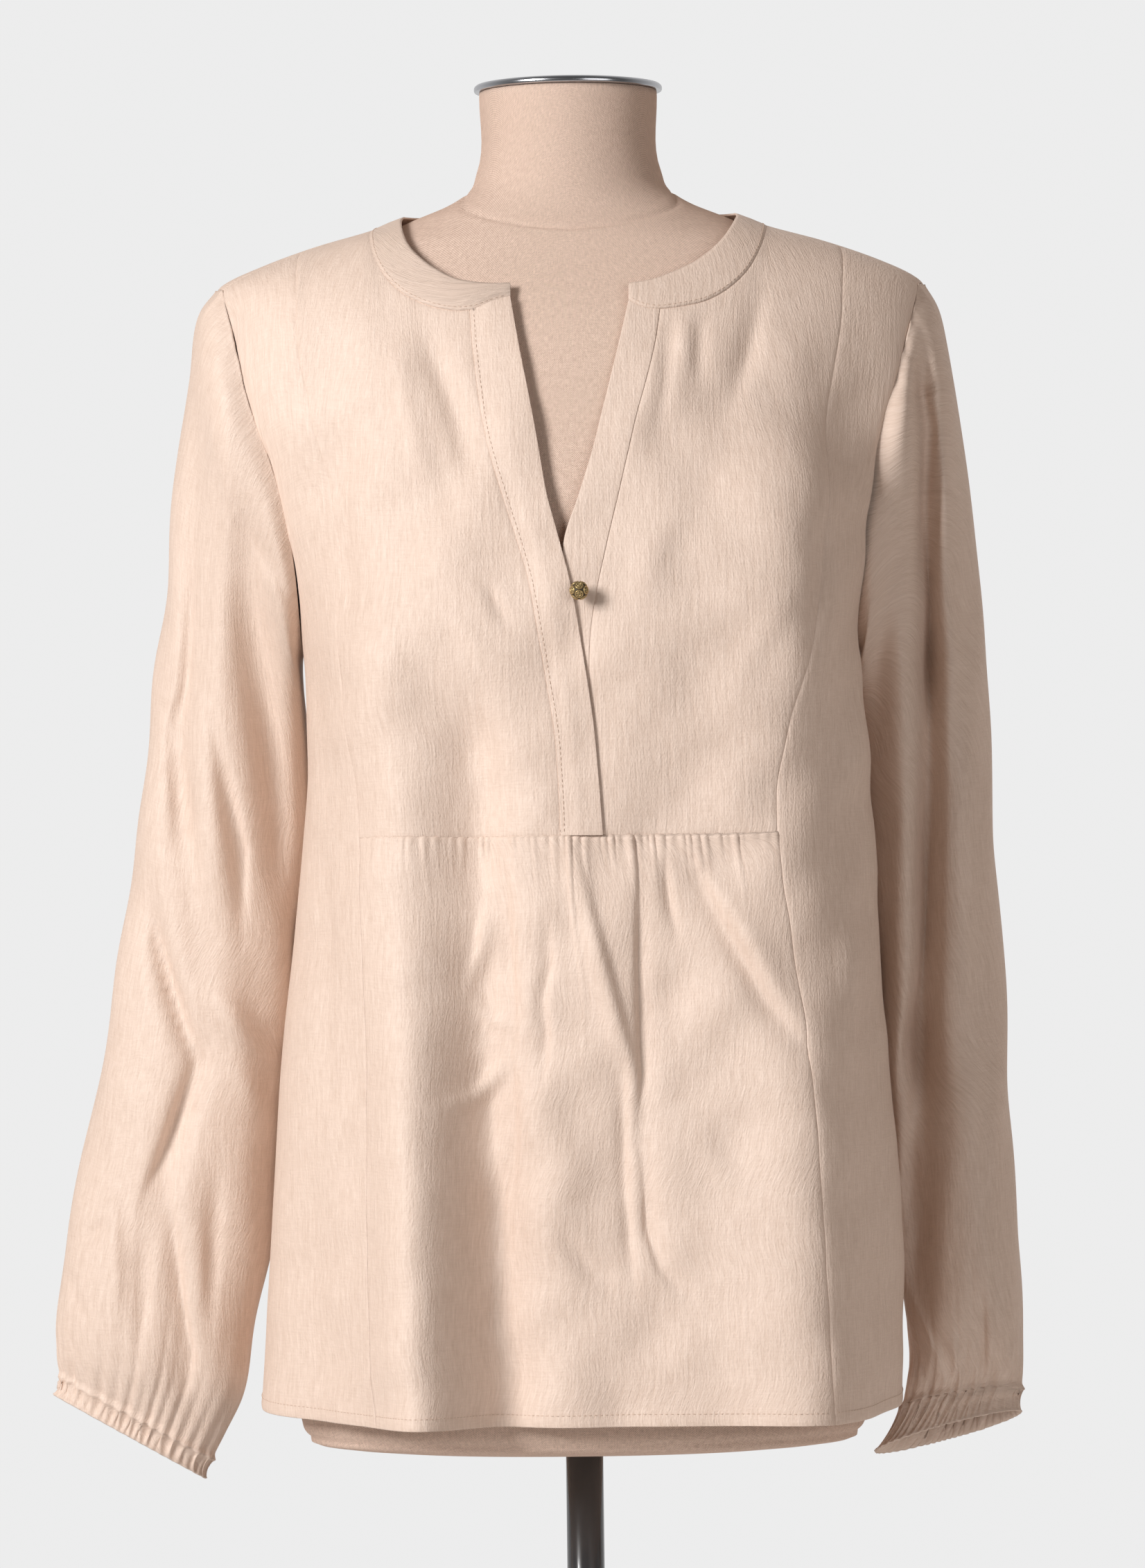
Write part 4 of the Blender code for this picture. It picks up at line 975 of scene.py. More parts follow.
def claim(piece: Piece, slot: str, *nodes: str) -> Piece:
    """Let a finished piece ride on the body and hide the solids that it stands for.

    Args:
        piece: the finished piece.
        slot: not used.
        nodes: the solids that it stands for.

    Returns:
        The same piece.
    """
    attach(piece, BODY)
    if nodes:
        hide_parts(*nodes)
    LOG.info("%s: %d faces", piece.name, len(piece.data.polygons))
    return piece


def quads(rows: int, columns: int, wrapped: bool) -> Array:
    """Corner numbers of a grid's faces, left to right and bottom to top. A wrapped grid's last
    column is its first.

    Args:
        rows, columns: the grid's size in points.
        wrapped: whether its rows are loops.

    Returns:
        Four corner numbers a face.
    """
    wide = columns - 1 if wrapped else columns
    i, j = np.meshgrid(np.arange(rows - 1), np.arange(columns - 1), indexing="ij")
    after = (j + 1) % wide
    return np.stack([i * wide + j, i * wide + after, (i + 1) * wide + after, (i + 1) * wide + j],
                    -1).reshape(-1, 4)


def corner_values(values: Array) -> Array:
    """A grid's values at the four corners of each of its faces, in the order of quads."""
    return np.stack([values[:-1, :-1], values[:-1, 1:], values[1:, 1:], values[1:, :-1]],
                    2).reshape(-1, values.shape[-1])


@dataclass
class ClothPiece:
    """One cut piece of cloth as a grid of points with its place on the cloth."""

    name: str
    grid: Array
    cut: Cut
    grow: int = 1
    closed: bool = False
    straight: int = 0
    held: str = "draped"
    rests_on: tuple[str, ...] = ("form_torso_fine",)

    def uv(self) -> Array:
        """Each point's place on the cloth in metres: along its row from the straight column,
        whose own place across counts, and up its column.

        Returns:
            Two numbers a point.
        """
        over, up = arc(self.grid, 1), arc(self.grid, 0)
        turn = np.sign(self.grid[:, -1, 0] - self.grid[:, 0, 0]).mean() or 1.0
        start = 0 if self.closed else turn * self.grid[:, self.straight:self.straight + 1 or None, 0]
        level = over - over[:, self.straight][:, None] + start
        return np.stack([level, up + self.grid[:1, :, 2]], -1) * MM

    def make(self, material: Material) -> Piece:
        """The piece as a shell that stands for its solid.

        Args:
            material: its finish.

        Returns:
            The new object.
        """
        rows, columns = self.grid.shape[:2]
        points = self.grid[:, :-1] if self.closed else self.grid
        piece = add_mesh(self.name + "_cloth", points.reshape(-1, 3),
                         quads(rows, columns, self.closed), material, corner_values(self.uv()))
        wall = piece.modifiers.new("wall", "SOLIDIFY")
        wall.thickness, wall.offset = WALL * MM, self.grow
        claim(piece, "cloth", self.name)
        return piece

    def outer(self, lift: float) -> tuple[Array, Array]:
        """The outer face's points raised by a lift, and its normals.

        Args:
            lift: how far above the face.

        Returns:
            Two grids of vectors.
        """
        normals = grid_normals(self.grid, self.closed)
        return self.grid + (WALL * (self.grow > 0) + lift) * normals, normals


@dataclass(frozen=True)
class Pattern:
    """Where the blouse's pieces meet on the body."""

    body: RingSurface = CLOTH_BODY

    def seam(self, rows: Sequence[Seam], heights: Array) -> Array:
        """Front surface points of a seam at the given heights."""
        across = smooth(column(rows, "height"), column(rows, "across"), heights)
        return self.body.at_height(across, heights, Face.FRONT)

    def upper_heights(self, top: float) -> Array:
        """Row heights from the seam under the yoke to a given top."""
        return YOKE_SEAM + np.array(UPPER_ROWS) * (top - YOKE_SEAM)

    def lower_heights(self, foot: float) -> Array:
        """Row heights from a given foot to the seam under the yoke."""
        return foot + np.array(LOWER_ROWS) * (YOKE_SEAM - foot)

    def shoulder(self, side: Side) -> Array:
        """The shoulder seam, from the armhole to the neck."""
        across, depth = column(SHOULDER_SEAM, "across"), column(SHOULDER_SEAM, "depth")
        return self.body.on_top(side.value * across, depth)

    def armhole(self, side: Side) -> tuple[Array, Array]:
        """The armhole's loop: down the front from the shoulder seam, then up the back to it.

        Args:
            side: the wearer's side.

        Returns:
            The front half and the back half.
        """
        top = self.shoulder(side)[:1]
        foot = self.body.at_depth(side, [ARMHOLE_FOOT.depth], [ARMHOLE_FOOT.height])
        front = self.body.at_depth(side, column(ARMHOLE_FRONT, "depth"), column(ARMHOLE_FRONT, "height"))
        back = self.body.at_depth(side, column(ARMHOLE_BACK, "depth"), column(ARMHOLE_BACK, "height"))
        ridge = self.body.on_top([side.value * ARMHOLE_RIDGE.across], [ARMHOLE_RIDGE.depth])
        return np.concatenate([top, front, foot]), np.concatenate([foot, back, ridge, top])

    def side_seam(self, side: Side) -> Array:
        """The side seam from the hem to the foot of the armhole.

        Args:
            side: the wearer's side.

        Returns:
            Points from the bottom up.
        """
        below = SIDE_HEM + np.array(LOWER_ROWS) * (UNDERARM[0] - SIDE_HEM)
        heights = np.concatenate([below, UNDERARM[1:]])
        depth = np.linspace(0, 1, len(heights)) * ARMHOLE_FOOT.depth
        return self.body.at_depth(side, depth, heights)

    def princess(self, side: Side) -> Array:
        """The princess seam from the hem to the shoulder seam.

        Args:
            side: the wearer's side.

        Returns:
            Points from the bottom up.
        """
        top = self.shoulder(side)[SHOULDER_COLUMNS]
        heights = np.concatenate([self.lower_heights(FRONT_HEM), self.upper_heights(top[2])[1:-1]])
        return np.concatenate([self.seam(PRINCESS[side], heights), top[None]])

    def neck(self, table: Mapping[Side, Sequence[NeckPoint]], side: Side, last: Array) -> Array:
        """A neckline's edge from the front opening to its last point on the shoulder."""
        across, height = column(table[side], "across"), column(table[side], "height")
        return np.concatenate([self.body.at_height(across, height, Face.FRONT), last[None]])

    def neck_lower(self, side: Side) -> Array:
        """The neckline's lower edge, which ends at the shoulder seam."""
        return self.neck(NECK_LOWER, side, self.shoulder(side)[-1])

    def neck_upper(self, side: Side) -> Array:
        """The neckline's upper edge, which ends above the shoulder seam."""
        last = self.body.on_top([side.value * NECK_TOP.across], [NECK_TOP.depth])[0]
        return self.neck(NECK_UPPER, side, last)

    def back_neck(self, half: Sequence[TopPoint]) -> Array:
        """A neckline round the back, from the left shoulder seam to the right one."""
        across, depth = column(half, "across"), column(half, "depth")
        return self.body.on_top(np.concatenate([across, -across[-2::-1]]),
                                np.concatenate([depth, depth[-2::-1]]))


class Socket:
    """A shader socket that Python's operators work on, each adding one Math node."""

    def __init__(self, nodes: "Nodes", socket: Any) -> None:
        """Wrap one output socket of a node tree."""
        self.nodes, self.socket = nodes, socket

    def _math(self, operation: str, first: Any, second: Any) -> "Socket":
        """One Math node on two values."""
        return self.nodes.add("ShaderNodeMath", {"operation": operation}, {0: first, 1: second})

    def __add__(self, other: Any) -> "Socket":
        """Sum."""
        return self._math("ADD", self, other)

    __radd__ = __add__

    def __sub__(self, other: Any) -> "Socket":
        """Difference."""
        return self._math("SUBTRACT", self, other)

    def __rsub__(self, other: Any) -> "Socket":
        """Difference, from a number."""
        return self._math("SUBTRACT", other, self)

    def __mul__(self, other: Any) -> "Socket":
        """Product."""
        return self._math("MULTIPLY", self, other)

    __rmul__ = __mul__


class Nodes:
    """The nodes of one material, with its Principled shader ready, or of one world, empty."""

    def __init__(self, name: str, world: bool = False) -> None:
        """Start a material with a Principled shader and an output, or a world with none.

        Args:
            name: its name.
            world: whether it is a world.
        """
        self.owner = (bpy.data.worlds if world else bpy.data.materials).new(name)
        self.owner.use_nodes = True
        self.tree = self.owner.node_tree
        if world:
            self.tree.nodes.clear()
        else:
            self.shader = self.tree.nodes["Principled BSDF"]

    def add(self, kind: str, settings: Mapping[str, Any], values: Mapping[Any, Any], out: Any = 0) -> Socket:
        """Add any node.

        Args:
            kind: the node's type.
            settings: its own settings, set first. A ramp's stops are given as "stops".
            values: its sockets' numbers, colours or wrapped sockets, by name or number.
            out: the output that is wanted.

        Returns:
            That output, wrapped.
        """
        node = self.tree.nodes.new(kind)
        for key, value in settings.items():
            if key == "stops":
                for element, (place, colour) in zip(node.color_ramp.elements, value):
                    element.position, element.color = place, (*colour, 1)
            else:
                setattr(node, key, value)
        self.set(node, values)
        return Socket(self, node.outputs[out])

    def set(self, node: Any, values: Mapping[Any, Any]) -> None:
        """Give a node's sockets their numbers, colours or links.

        Args:
            node: the node.
            values: numbers, colours or wrapped sockets, by socket.
        """
        for key, value in values.items():
            if isinstance(value, Socket):
                self.tree.links.new(value.socket, node.inputs[key])
            else:
                node.inputs[key].default_value = value

    def mix(self, share: Any, first: Any, second: Any) -> Socket:
        """A colour between two colours. A plain one gets its fourth number here.

        Args:
            share: the second colour's share.
            first, second: colours or wrapped sockets.

        Returns:
            The mixed colour.
        """
        paints = [value if isinstance(value, Socket) else (*value, 1) for value in (first, second)]
        return self.add("ShaderNodeMix", {"data_type": "RGBA", "clamp_factor": True},
                        {0: share, 6: paints[0], 7: paints[1]}, 2)

    def noise(self, place: Socket, scale: Sequence[float], detail: float = 2.0) -> Socket:
        """Noise of about 0 to 1 with its own scale along each axis."""
        scaled = self.add("ShaderNodeMapping", {}, {0: place, "Scale": tuple(scale)})
        return self.add("ShaderNodeTexNoise", {}, {"Vector": scaled, "Scale": 1.0, "Detail": detail}, 0)

    def bump(self, height: Socket, distance: float) -> Socket:
        """A Bump node's normal for a height of 0 to 1."""
        return self.add("ShaderNodeBump", {}, {"Strength": 1.0, "Distance": distance, "Height": height})


@dataclass(frozen=True)
class ClothFinish:
    """Soft viscose crepe with a slubby upright grain, on the piece's own place on the cloth."""

    name: str = "crepe_cloth"
    light: Triple = (0.82, 0.66, 0.56)
    dark: Triple = (0.66, 0.505, 0.41)
    roughness: float = 0.58
    sheen: float = 0.15
    grain: float = 0.00042

    def make(self) -> Material:
        """Threads: fine and coarse upright streaks and a faint crosswise one tint the colour and
        raise the bump; a broad mottle warms it.

        Returns:
            The material.
        """
        nodes = Nodes(self.name)
        place = nodes.add("ShaderNodeUVMap", {"uv_map": "cloth"}, {})
        fine = nodes.noise(place, (1100, 110, 1))
        slub = nodes.noise(place, (420, 34, 1))
        weft = nodes.noise(place, (90, 1100, 1))
        crepe = nodes.noise(place, (900, 480, 1), 1.0)
        mottle = nodes.noise(place, (9, 6, 1))
        share = 0.5 + (fine - 0.5) * 1.3 + (slub - 0.5) * 0.9 + (weft - 0.5) * 0.6 + (mottle - 0.5) * 0.5
        nodes.set(nodes.shader, {
            "Base Color": nodes.mix(share, self.dark, self.light),
            "Roughness": self.roughness + (slub - 0.5) * 0.12,
            "Sheen Weight": self.sheen, "Sheen Roughness": 0.45, "Sheen Tint": (1, 0.93, 0.86, 1),
            "Specular IOR Level": 0.35,
            "Normal": nodes.bump(fine * 0.5 + slub * 0.8 + weft * 0.3 + crepe * 0.7, self.grain)})
        return nodes.owner


@dataclass(frozen=True)
class CanvasFinish:
    """The form's plain-woven canvas: even threads both ways, a little darker in between."""

    name: str = "form_canvas"
    light: Triple = (0.92, 0.71, 0.59)
    dark: Triple = (0.45, 0.31, 0.24)
    pitch: float = 0.00125

    def make(self) -> Material:
        """A checked weave: the product of two sine bands of the thread pitch, roughened by noise.

        Returns:
            The material.
        """
        nodes = Nodes(self.name)
        place = nodes.add("ShaderNodeUVMap", {"uv_map": "cloth"}, {})
        turns = 2 * math.pi / self.pitch
        ways = [nodes.add("ShaderNodeSeparateXYZ", {}, {0: place}, way) for way in ("X", "Y")]
        waves = [nodes.add("ShaderNodeMath", {"operation": "SINE"}, {0: way * turns}) for way in ways]
        weave = 0.5 + waves[0] * waves[1] * 0.5
        thread = nodes.noise(place, (260, 1100, 1))
        cross = nodes.noise(place, (1100, 240, 1))
        share = 0.55 + (weave - 0.5) * 0.6 + (thread - 0.5) * 0.7 + (cross - 0.5) * 0.7
        nodes.set(nodes.shader, {
            "Base Color": nodes.mix(share, self.dark, self.light),
            "Roughness": 0.86 - cross * 0.1, "Specular IOR Level": 0.25,
            "Normal": nodes.bump(weave * 0.8 + thread * 0.5 + cross * 0.5, 0.00018)})
        return nodes.owner


@dataclass(frozen=True)
class MetalFinish:
    """Turned metal with faint streaks round its axis."""

    name: str
    colour: Triple
    worn: Triple
    roughness: float
    metallic: float = 1.0
    streaks: Triple = (6, 6, 900)
    coat: float = 0.0

    def make(self) -> Material:
        """Streaks and a soft mottle move the colour and the roughness a little.

        Returns:
            The material.
        """
        nodes = Nodes(self.name)
        place = nodes.add("ShaderNodeTexCoord", {}, {}, "Object")
        streak, mottle = nodes.noise(place, self.streaks), nodes.noise(place, (30, 30, 30), 4.0)
        nodes.set(nodes.shader, {
            "Base Color": nodes.mix(streak * 0.5 + mottle * 0.5, self.colour, self.worn),
            "Roughness": self.roughness + (mottle - 0.5) * 0.12 + (streak - 0.5) * 0.06,
            "Metallic": self.metallic, "Coat Weight": self.coat, "Coat Roughness": 0.08,
            "Normal": nodes.bump(streak, 0.00002)})
        return nodes.owner


@dataclass(frozen=True)
class BrassFinish:
    """Antique brass, bright on the raised wire; the hollows between the wires are painted near black as the
    shade seen through the filigree's open holes, by a height attribute.
    """

    name: str = "antique_brass_painted_hole_shade"
    bright: Triple = (0.62, 0.45, 0.21)
    # dark is painted shade: the near black that stands for the open holes between the wires.
    dark: Triple = (0.045, 0.032, 0.018)

    def make(self) -> Material:
        """The attribute "raised" drives the colour, the metal and the roughness; the low places get the
        painted hole shade.

        Returns:
            The material.
        """
        nodes = Nodes(self.name)
        raised = nodes.add("ShaderNodeAttribute", {"attribute_name": "raised"}, {}, "Fac")
        nodes.set(nodes.shader, {
            "Base Color": nodes.mix(raised, self.dark, self.bright),
            "Metallic": 0.4 + raised * 0.6, "Roughness": 0.62 - raised * 0.3})
        return nodes.owner


@dataclass
class Front:
    """The two side fronts, the two upper fronts and the gathered lower front."""

    pattern: Pattern
    waves: int = 48
    gather_out: float = 1.7
    gather_reach: float = 9.0
    gather_spread: float = 0.6
    wave_columns: int = 6
    coarse: int = 12
    seam_rows: Triple = (1, 34, 1.6)
    pucker_out: float = 0.28
    pucker_reach: float = 7.0

    def side_front(self, side: Side) -> ClothPiece:
        """The side panel from the princess seam to the side seam and the armhole.

        Args:
            side: the wearer's side.

        Returns:
            The piece.
        """
        outer = np.concatenate([self.pattern.side_seam(side), self.pattern.armhole(side)[0][::-1][1:]])
        inner = self.pattern.princess(side)
        shoulder = self.pattern.shoulder(side)[:SHOULDER_COLUMNS + 1]
        hem = CLOTH_BODY.drape_level(np.linspace(outer[0], inner[0], SHOULDER_COLUMNS + 1))
        base = laid(sided_patch(side, hem, shoulder, outer, inner), (UNDERARM_ROW,))
        grid = moved_out(base, seam_roll(base) + hem_relief(base))
        return ClothPiece("side_front_" + side.word, grid, Cut(0.150, 0.660, 0.066),
                          straight=side.inner_column)

    def yoke(self, side: Side) -> ClothPiece:
        """The plain upper front from the placket to the princess seam, up to the neck.

        Args:
            side: the wearer's side.

        Returns:
            The piece.
        """
        outer = self.pattern.princess(side)[len(LOWER_ROWS) - 1:]
        neck, shoulder = self.pattern.neck_lower(side), self.pattern.shoulder(side)
        top = np.concatenate([shoulder[SHOULDER_COLUMNS:], neck[::-1][1:YOKE_NECK_COLUMNS + 1]])
        inner = self.pattern.seam(PLACKET_SEAM[side], self.pattern.upper_heights(top[-1][2]))
        inner[-1] = top[-1]
        low = CLOTH_BODY.drape_level(np.linspace(outer[0], inner[0], len(top)))
        corner = SHOULDER_COLUMNS if side is Side.RIGHT else YOKE_NECK_COLUMNS
        base = laid(sided_patch(side, low, top, outer, inner), (), (corner,))
        grid = moved_out(base, seam_roll(base) + self.seam_pucker(base))
        return ClothPiece("front_yoke_" + side.word, grid, Cut(0.125, 0.340, 0.035),
                          straight=side.inner_column)

    def seam_pucker(self, base: Array) -> Array:
        """Small ripples that the gathered seam draws into the plain cloth above it."""
        ripples = np.sin(base[..., 0] * 1.25 + 2 * np.sin(base[..., 0] * 0.21))
        return self.pucker_out * ripples * np.exp(-(base[..., 2] - YOKE_SEAM) / self.pucker_reach)

    def gathers(self, across: Array, down: Array) -> Array:
        """Height of the gathers under the seam.

        Each wave is a squared sine between two valleys. Its own draw gives its height and its
        reach, by which it fades down; its place drifts a little as it goes down.

        Args:
            across: place along the seam, counted in waves.
            down: distance below the seam.

        Returns:
            One height in millimetres a point.
        """
        draw = np.random.default_rng(17)
        tall = draw.uniform(0.3, 1.2, self.waves + 2)
        reach = self.gather_reach * np.exp(draw.normal(0, self.gather_spread, self.waves + 2))
        tall[[0, 1, -2, -1]] = 0
        uneven = 0.25 * np.sin(1.3 * across) + 0.1 * np.sin(3.1 * across + 1)
        drift = 0.5 * np.sin(down / 23 + across * 0.55) * np.clip(down / 60, 0, 1)
        place = np.clip(across + uneven + drift, 0, self.waves - 0.001)
        wave = place.astype(int)
        bell = np.sin(np.pi * (place - wave)) ** 2
        fall = np.exp(-(down / reach[wave]) ** 1.15)
        return self.gather_out * tall[wave] * bell * fall * ease(0.35 + down / 3)

    def skirt(self) -> ClothPiece:
        """The lower front, gathered into the seam under the yoke and flaring in uneven folds.

        Returns:
            The piece.
        """
        right, left = (self.pattern.princess(side)[:len(LOWER_ROWS)] for side in Side)
        low, high = (CLOTH_BODY.at_height(np.linspace(right[row][0], left[row][0], self.coarse + 1),
                                          height, Face.FRONT)
                     for row, height in ((0, FRONT_HEM), (-1, YOKE_SEAM)))
        coarse = patch(low, high, right, left)
        down, last = mean_steps(coarse, 0), len(LOWER_ROWS) - 1
        top = np.interp(np.arange(*self.seam_rows), [0, down[-1], down[-1] + down[-2]],
                        [last, last - 1, last - 2])
        rows = np.unique(np.round(np.concatenate([places(down, (), SKIRT_SPACING), top]), 4))
        columns = np.linspace(0, self.coarse, self.waves * self.wave_columns + 1)
        base = inset(CLOTH_BODY.drape(read_grid(coarse, rows, columns)))
        across = np.broadcast_to(columns / self.coarse * self.waves, base.shape[:2])
        swell = self.gathers(across, np.maximum(YOKE_SEAM - base[..., 2], 0))
        grid = moved_out(base, seam_roll(base) + hem_relief(base) + swell)
        return ClothPiece("front_skirt", grid, Cut(0.400, 0.335, 0.110), held="gathered")


def hem_relief(base: Array) -> Array:
    """The turned hem: a doubled band 7 mm high with a groove along its stitches."""
    up = arc(base, 0)
    groove = HEM_GROOVE * np.exp(-((up - HEM_STITCHES) / HEM_GROOVE_WIDE) ** 2)
    return HEM_RISE * ease((HEM_TOP - up) / HEM_STEP) - groove


@dataclass
class Bands:
    """The two front bands and the narrow band round the neck."""

    pattern: Pattern
    lift: float = 2.0
    roll: float = 0.4
    neck_lift: float = 0.9
    neck_foot: float = 0.3
    neck_roll: float = 0.6
    neck_rows: int = 12

    def placket(self, side: Side) -> ClothPiece:
        """One front band. The right one lies over the left one, lifted clear of it.

        Args:
            side: the wearer's side.

        Returns:
            The piece.
        """
        neck = self.pattern.neck_lower(side)[:PLACKET_COLUMNS + 1]
        outer = self.pattern.seam(PLACKET_SEAM[side], self.pattern.upper_heights(neck[-1][2]))
        inner = self.pattern.seam(PLACKET_EDGE[side], self.pattern.upper_heights(neck[0][2]))
        outer[-1], inner[-1] = neck[-1], neck[0]
        low = CLOTH_BODY.drape_level(np.linspace(outer[0], inner[0], PLACKET_COLUMNS + 1))
        base = laid(sided_patch(side, low, neck[::-1], outer, inner), spacing=PLACKET_SPACING)
        over = arc(base, 1)
        lift = self.lift * ease(2 * over / over[:, -1:]) if side is Side.RIGHT else 0.0
        grid = moved_out(base, lift + self.roll * seam_roll(base))
        return ClothPiece("placket_" + side.word, grid, Cut(0.028, 0.330, 0.0066),
                          straight=side.inner_column)

    def neckband(self) -> ClothPiece:
        """The narrow band round the neck, open at the middle of the front.

        Returns:
            The piece.
        """
        right, left = (self.pattern.neck_lower(side) for side in Side)
        right_top, left_top = (self.pattern.neck_upper(side) for side in Side)
        low = np.concatenate([left[:-1], self.pattern.back_neck(BACK_NECK_LOWER), right[::-1][1:]])
        high = np.concatenate([left_top[:-1], self.pattern.back_neck(BACK_NECK_UPPER), right_top[::-1][1:]])
        coarse = np.stack([low, CLOTH_BODY.drape((low + high) / 2), high])
        columns = places(mean_steps(coarse, 1), (), NECK_SPACING)
        rows = np.linspace(0, 2, self.neck_rows + 1)
        base = inset(CLOTH_BODY.drape(read_grid(coarse, rows, columns)))
        rise = np.interp(rows, [0, 1, 2], [self.neck_foot, 1, 1])[:, None] * self.neck_lift
        grid = moved_out(base, rise + self.neck_roll * seam_roll(base))
        return ClothPiece("neckband", grid, Cut(0.560, 0.024, 0.0105))


@dataclass
class Back:
    """The whole back in one piece, over the shoulders to the seams in front of the ridge."""

    pattern: Pattern
    wide: float = 150.0
    deep: float = 105.0

    def panel(self) -> ClothPiece:
        """The back between the side seams, the armholes, the shoulder seams and the neck.

        Returns:
            The piece.
        """
        right_seam, left_seam = (self.pattern.shoulder(side) for side in Side)
        neck = self.pattern.back_neck(BACK_NECK_LOWER)
        top = np.concatenate([left_seam, neck[1:-1], right_seam[::-1]])
        edges = [np.concatenate([self.pattern.side_seam(side), self.pattern.armhole(side)[1][1:]])
                 for side in (Side.LEFT, Side.RIGHT)]
        turn = np.linspace(0, np.pi, len(top))
        reach = np.stack([self.wide * np.cos(turn), self.deep * np.sin(turn), np.zeros_like(turn)], -1)
        hem = CLOTH_BODY.drape_level(reach + (0, edges[0][0][1], SIDE_HEM))
        hem[0], hem[-1] = edges[0][0], edges[1][0]
        corners = (len(left_seam) - 1, len(top) - len(right_seam))
        base = laid(patch(hem, top, *edges), (UNDERARM_ROW,), corners)
        grid = moved_out(base, seam_roll(base) + hem_relief(base))
        return ClothPiece("back", grid, Cut(0.500, 0.680, 0.300), straight=grid.shape[1] // 2)


@dataclass
class Sleeve:
    """A full sleeve, gathered at its end into a narrow elastic cuff."""

    pattern: Pattern
    side: Side
    steps: int = 5
    rows: int = 160
    cuff_rows: int = 12
    gathers: int = 30
    ribs: int = 52
    blend: float = 0.30
    evening: float = 0.17
    swell: float = 2.0
    reach: float = 16.0
    end_rows: tuple[float, int] = (0.06, 28)
    head_waves: int = 26
    head_out: float = 1.2
    head_reach: float = 9.0
    dent: float = 1.6
    dent_reach: float = 2.2
    turn_in: tuple[float, float] = (0.5, 0.6)
    cuff_swell: float = 2.0
    rib_out: float = 0.9

    def loop(self, section: Section, turn: Array, drop: float, swing: float) -> Array:
        """One cross-section: an oval between its edges, its back hanging lower, swung back.

        Args:
            section: the section's sizes.
            turn: each point's turn round the sleeve.
            drop: how much lower its back hangs.
            swing: how far back it swings.

        Returns:
            One point a turn.
        """
        outer = np.array([section.outer_x, 0, section.outer_z], float)
        inner = np.array([section.inner_x, 0, section.inner_z], float)
        even = turn + self.evening * np.sin(2 * turn)
        cos, sin = np.cos(even)[:, None], np.sin(even)[:, None]
        loop = (outer + inner) / 2 + cos * (outer - inner) / 2
        loop[:, 1:2] += np.where(sin > 0, -section.front * sin, -section.back * sin)
        loop[:, 2:3] += drop * sin / 2
        return loop + (0, swing, 0)

    def armhole(self) -> Array:
        """The armhole's loop on the outer face of the body's cloth, a cubic through its points
        down the front and another up the back.

        Returns:
            Points of the loop, the last on the first.
        """
        parts = []
        for half in self.pattern.armhole(self.side):
            at = np.linspace(0, len(half) - 1, (len(half) - 1) * 2 * self.steps + 1)
            parts.append(smooth(np.arange(len(half)), half, at))
        loop = np.concatenate([parts[0], parts[1][1:]])
        out = WALL + 0.2 + hump_relief(BUST, loop)
        return loop + out[:, None] * CLOTH_BODY.outward(loop)

    def gather(self, turn: Array, seed: int) -> Array:
        """The gathers round the sleeve's end: squared sines with their own drawn heights.

        Args:
            turn: each column's turn round the sleeve.
            seed: the draw's seed.

        Returns:
            One height a turn, about 0 to 1.
        """
        draw = np.random.default_rng(seed)
        tall = draw.uniform(0.3, 1.2, self.gathers)
        place = turn / (2 * np.pi) * self.gathers + 0.25 * np.sin(3 * turn)
        wave = np.floor(place).astype(int) % self.gathers
        return tall[wave] * np.sin(np.pi * (place - np.floor(place))) ** 2

    def tube(self) -> tuple[Array, Array]:
        """The plain sleeve: the sections' ovals joined by the smooth cubic. Their start is drawn
        to the armhole's loop, fading out down the sleeve.

        Returns:
            The grid, and each column's turn round the sleeve.
        """
        table, armhole = SLEEVE_SECTIONS[self.side], self.armhole()
        turn = np.linspace(0, 2 * np.pi, len(armhole))
        place = np.linspace(0, 1, len(table))
        drops = BACK_DROP[self.side] * ease((place - DROP_START) / (1 - DROP_START))
        swings = SLEEVE_SWING * ease((place - SWING_START) / SWING_REACH)
        loops = np.stack([self.loop(s, turn, d, b) for s, d, b in zip(table, drops, swings)])
        even, end = np.linspace(0, 1, self.rows + 1), 1 - np.linspace(0, *self.end_rows)
        rows = np.unique(np.concatenate([even, end]).round(5))
        grid = smooth(place, loops.reshape(len(loops), -1), rows).reshape(len(rows), *loops.shape[1:])
        return grid + (1 - ease(rows / self.blend))[:, None, None] * (armhole - grid[0]), turn

    def relief(self, grid: Array, turn: Array) -> Array:
        """Height of what moves the points along the normals: gathers at both ends, the
        unevenness between them, the turned-in edges and the dent above the cuff.

        Args:
            grid: the pressed sleeve.
            turn: each column's turn round it.

        Returns:
            One height in millimetres a point.
        """
        run = arc(grid, 0)
        to_end = run[-1:] - run
        wave = self.gather(turn, 5 + self.side.value)
        fall = np.exp(-(to_end / (self.reach * (0.5 + 1.6 * wave))) ** 1.1)
        head = np.clip(np.sin(turn * self.head_waves), 0, 1) * ease((np.cos(turn) - 0.55) * 4)
        small = tube_crumple(turn, run, 21 + self.side.value, 1.0) * ease(run / 60) * ease(to_end / 40)
        edges = self.turn_in[0] * np.exp(-run) + self.turn_in[1] * np.exp(-to_end)
        dent = self.dent * np.exp(-(to_end / self.dent_reach) ** 2)
        return (self.swell * wave * fall + self.head_out * head * np.exp(-run / self.head_reach)
                + small - edges - dent)

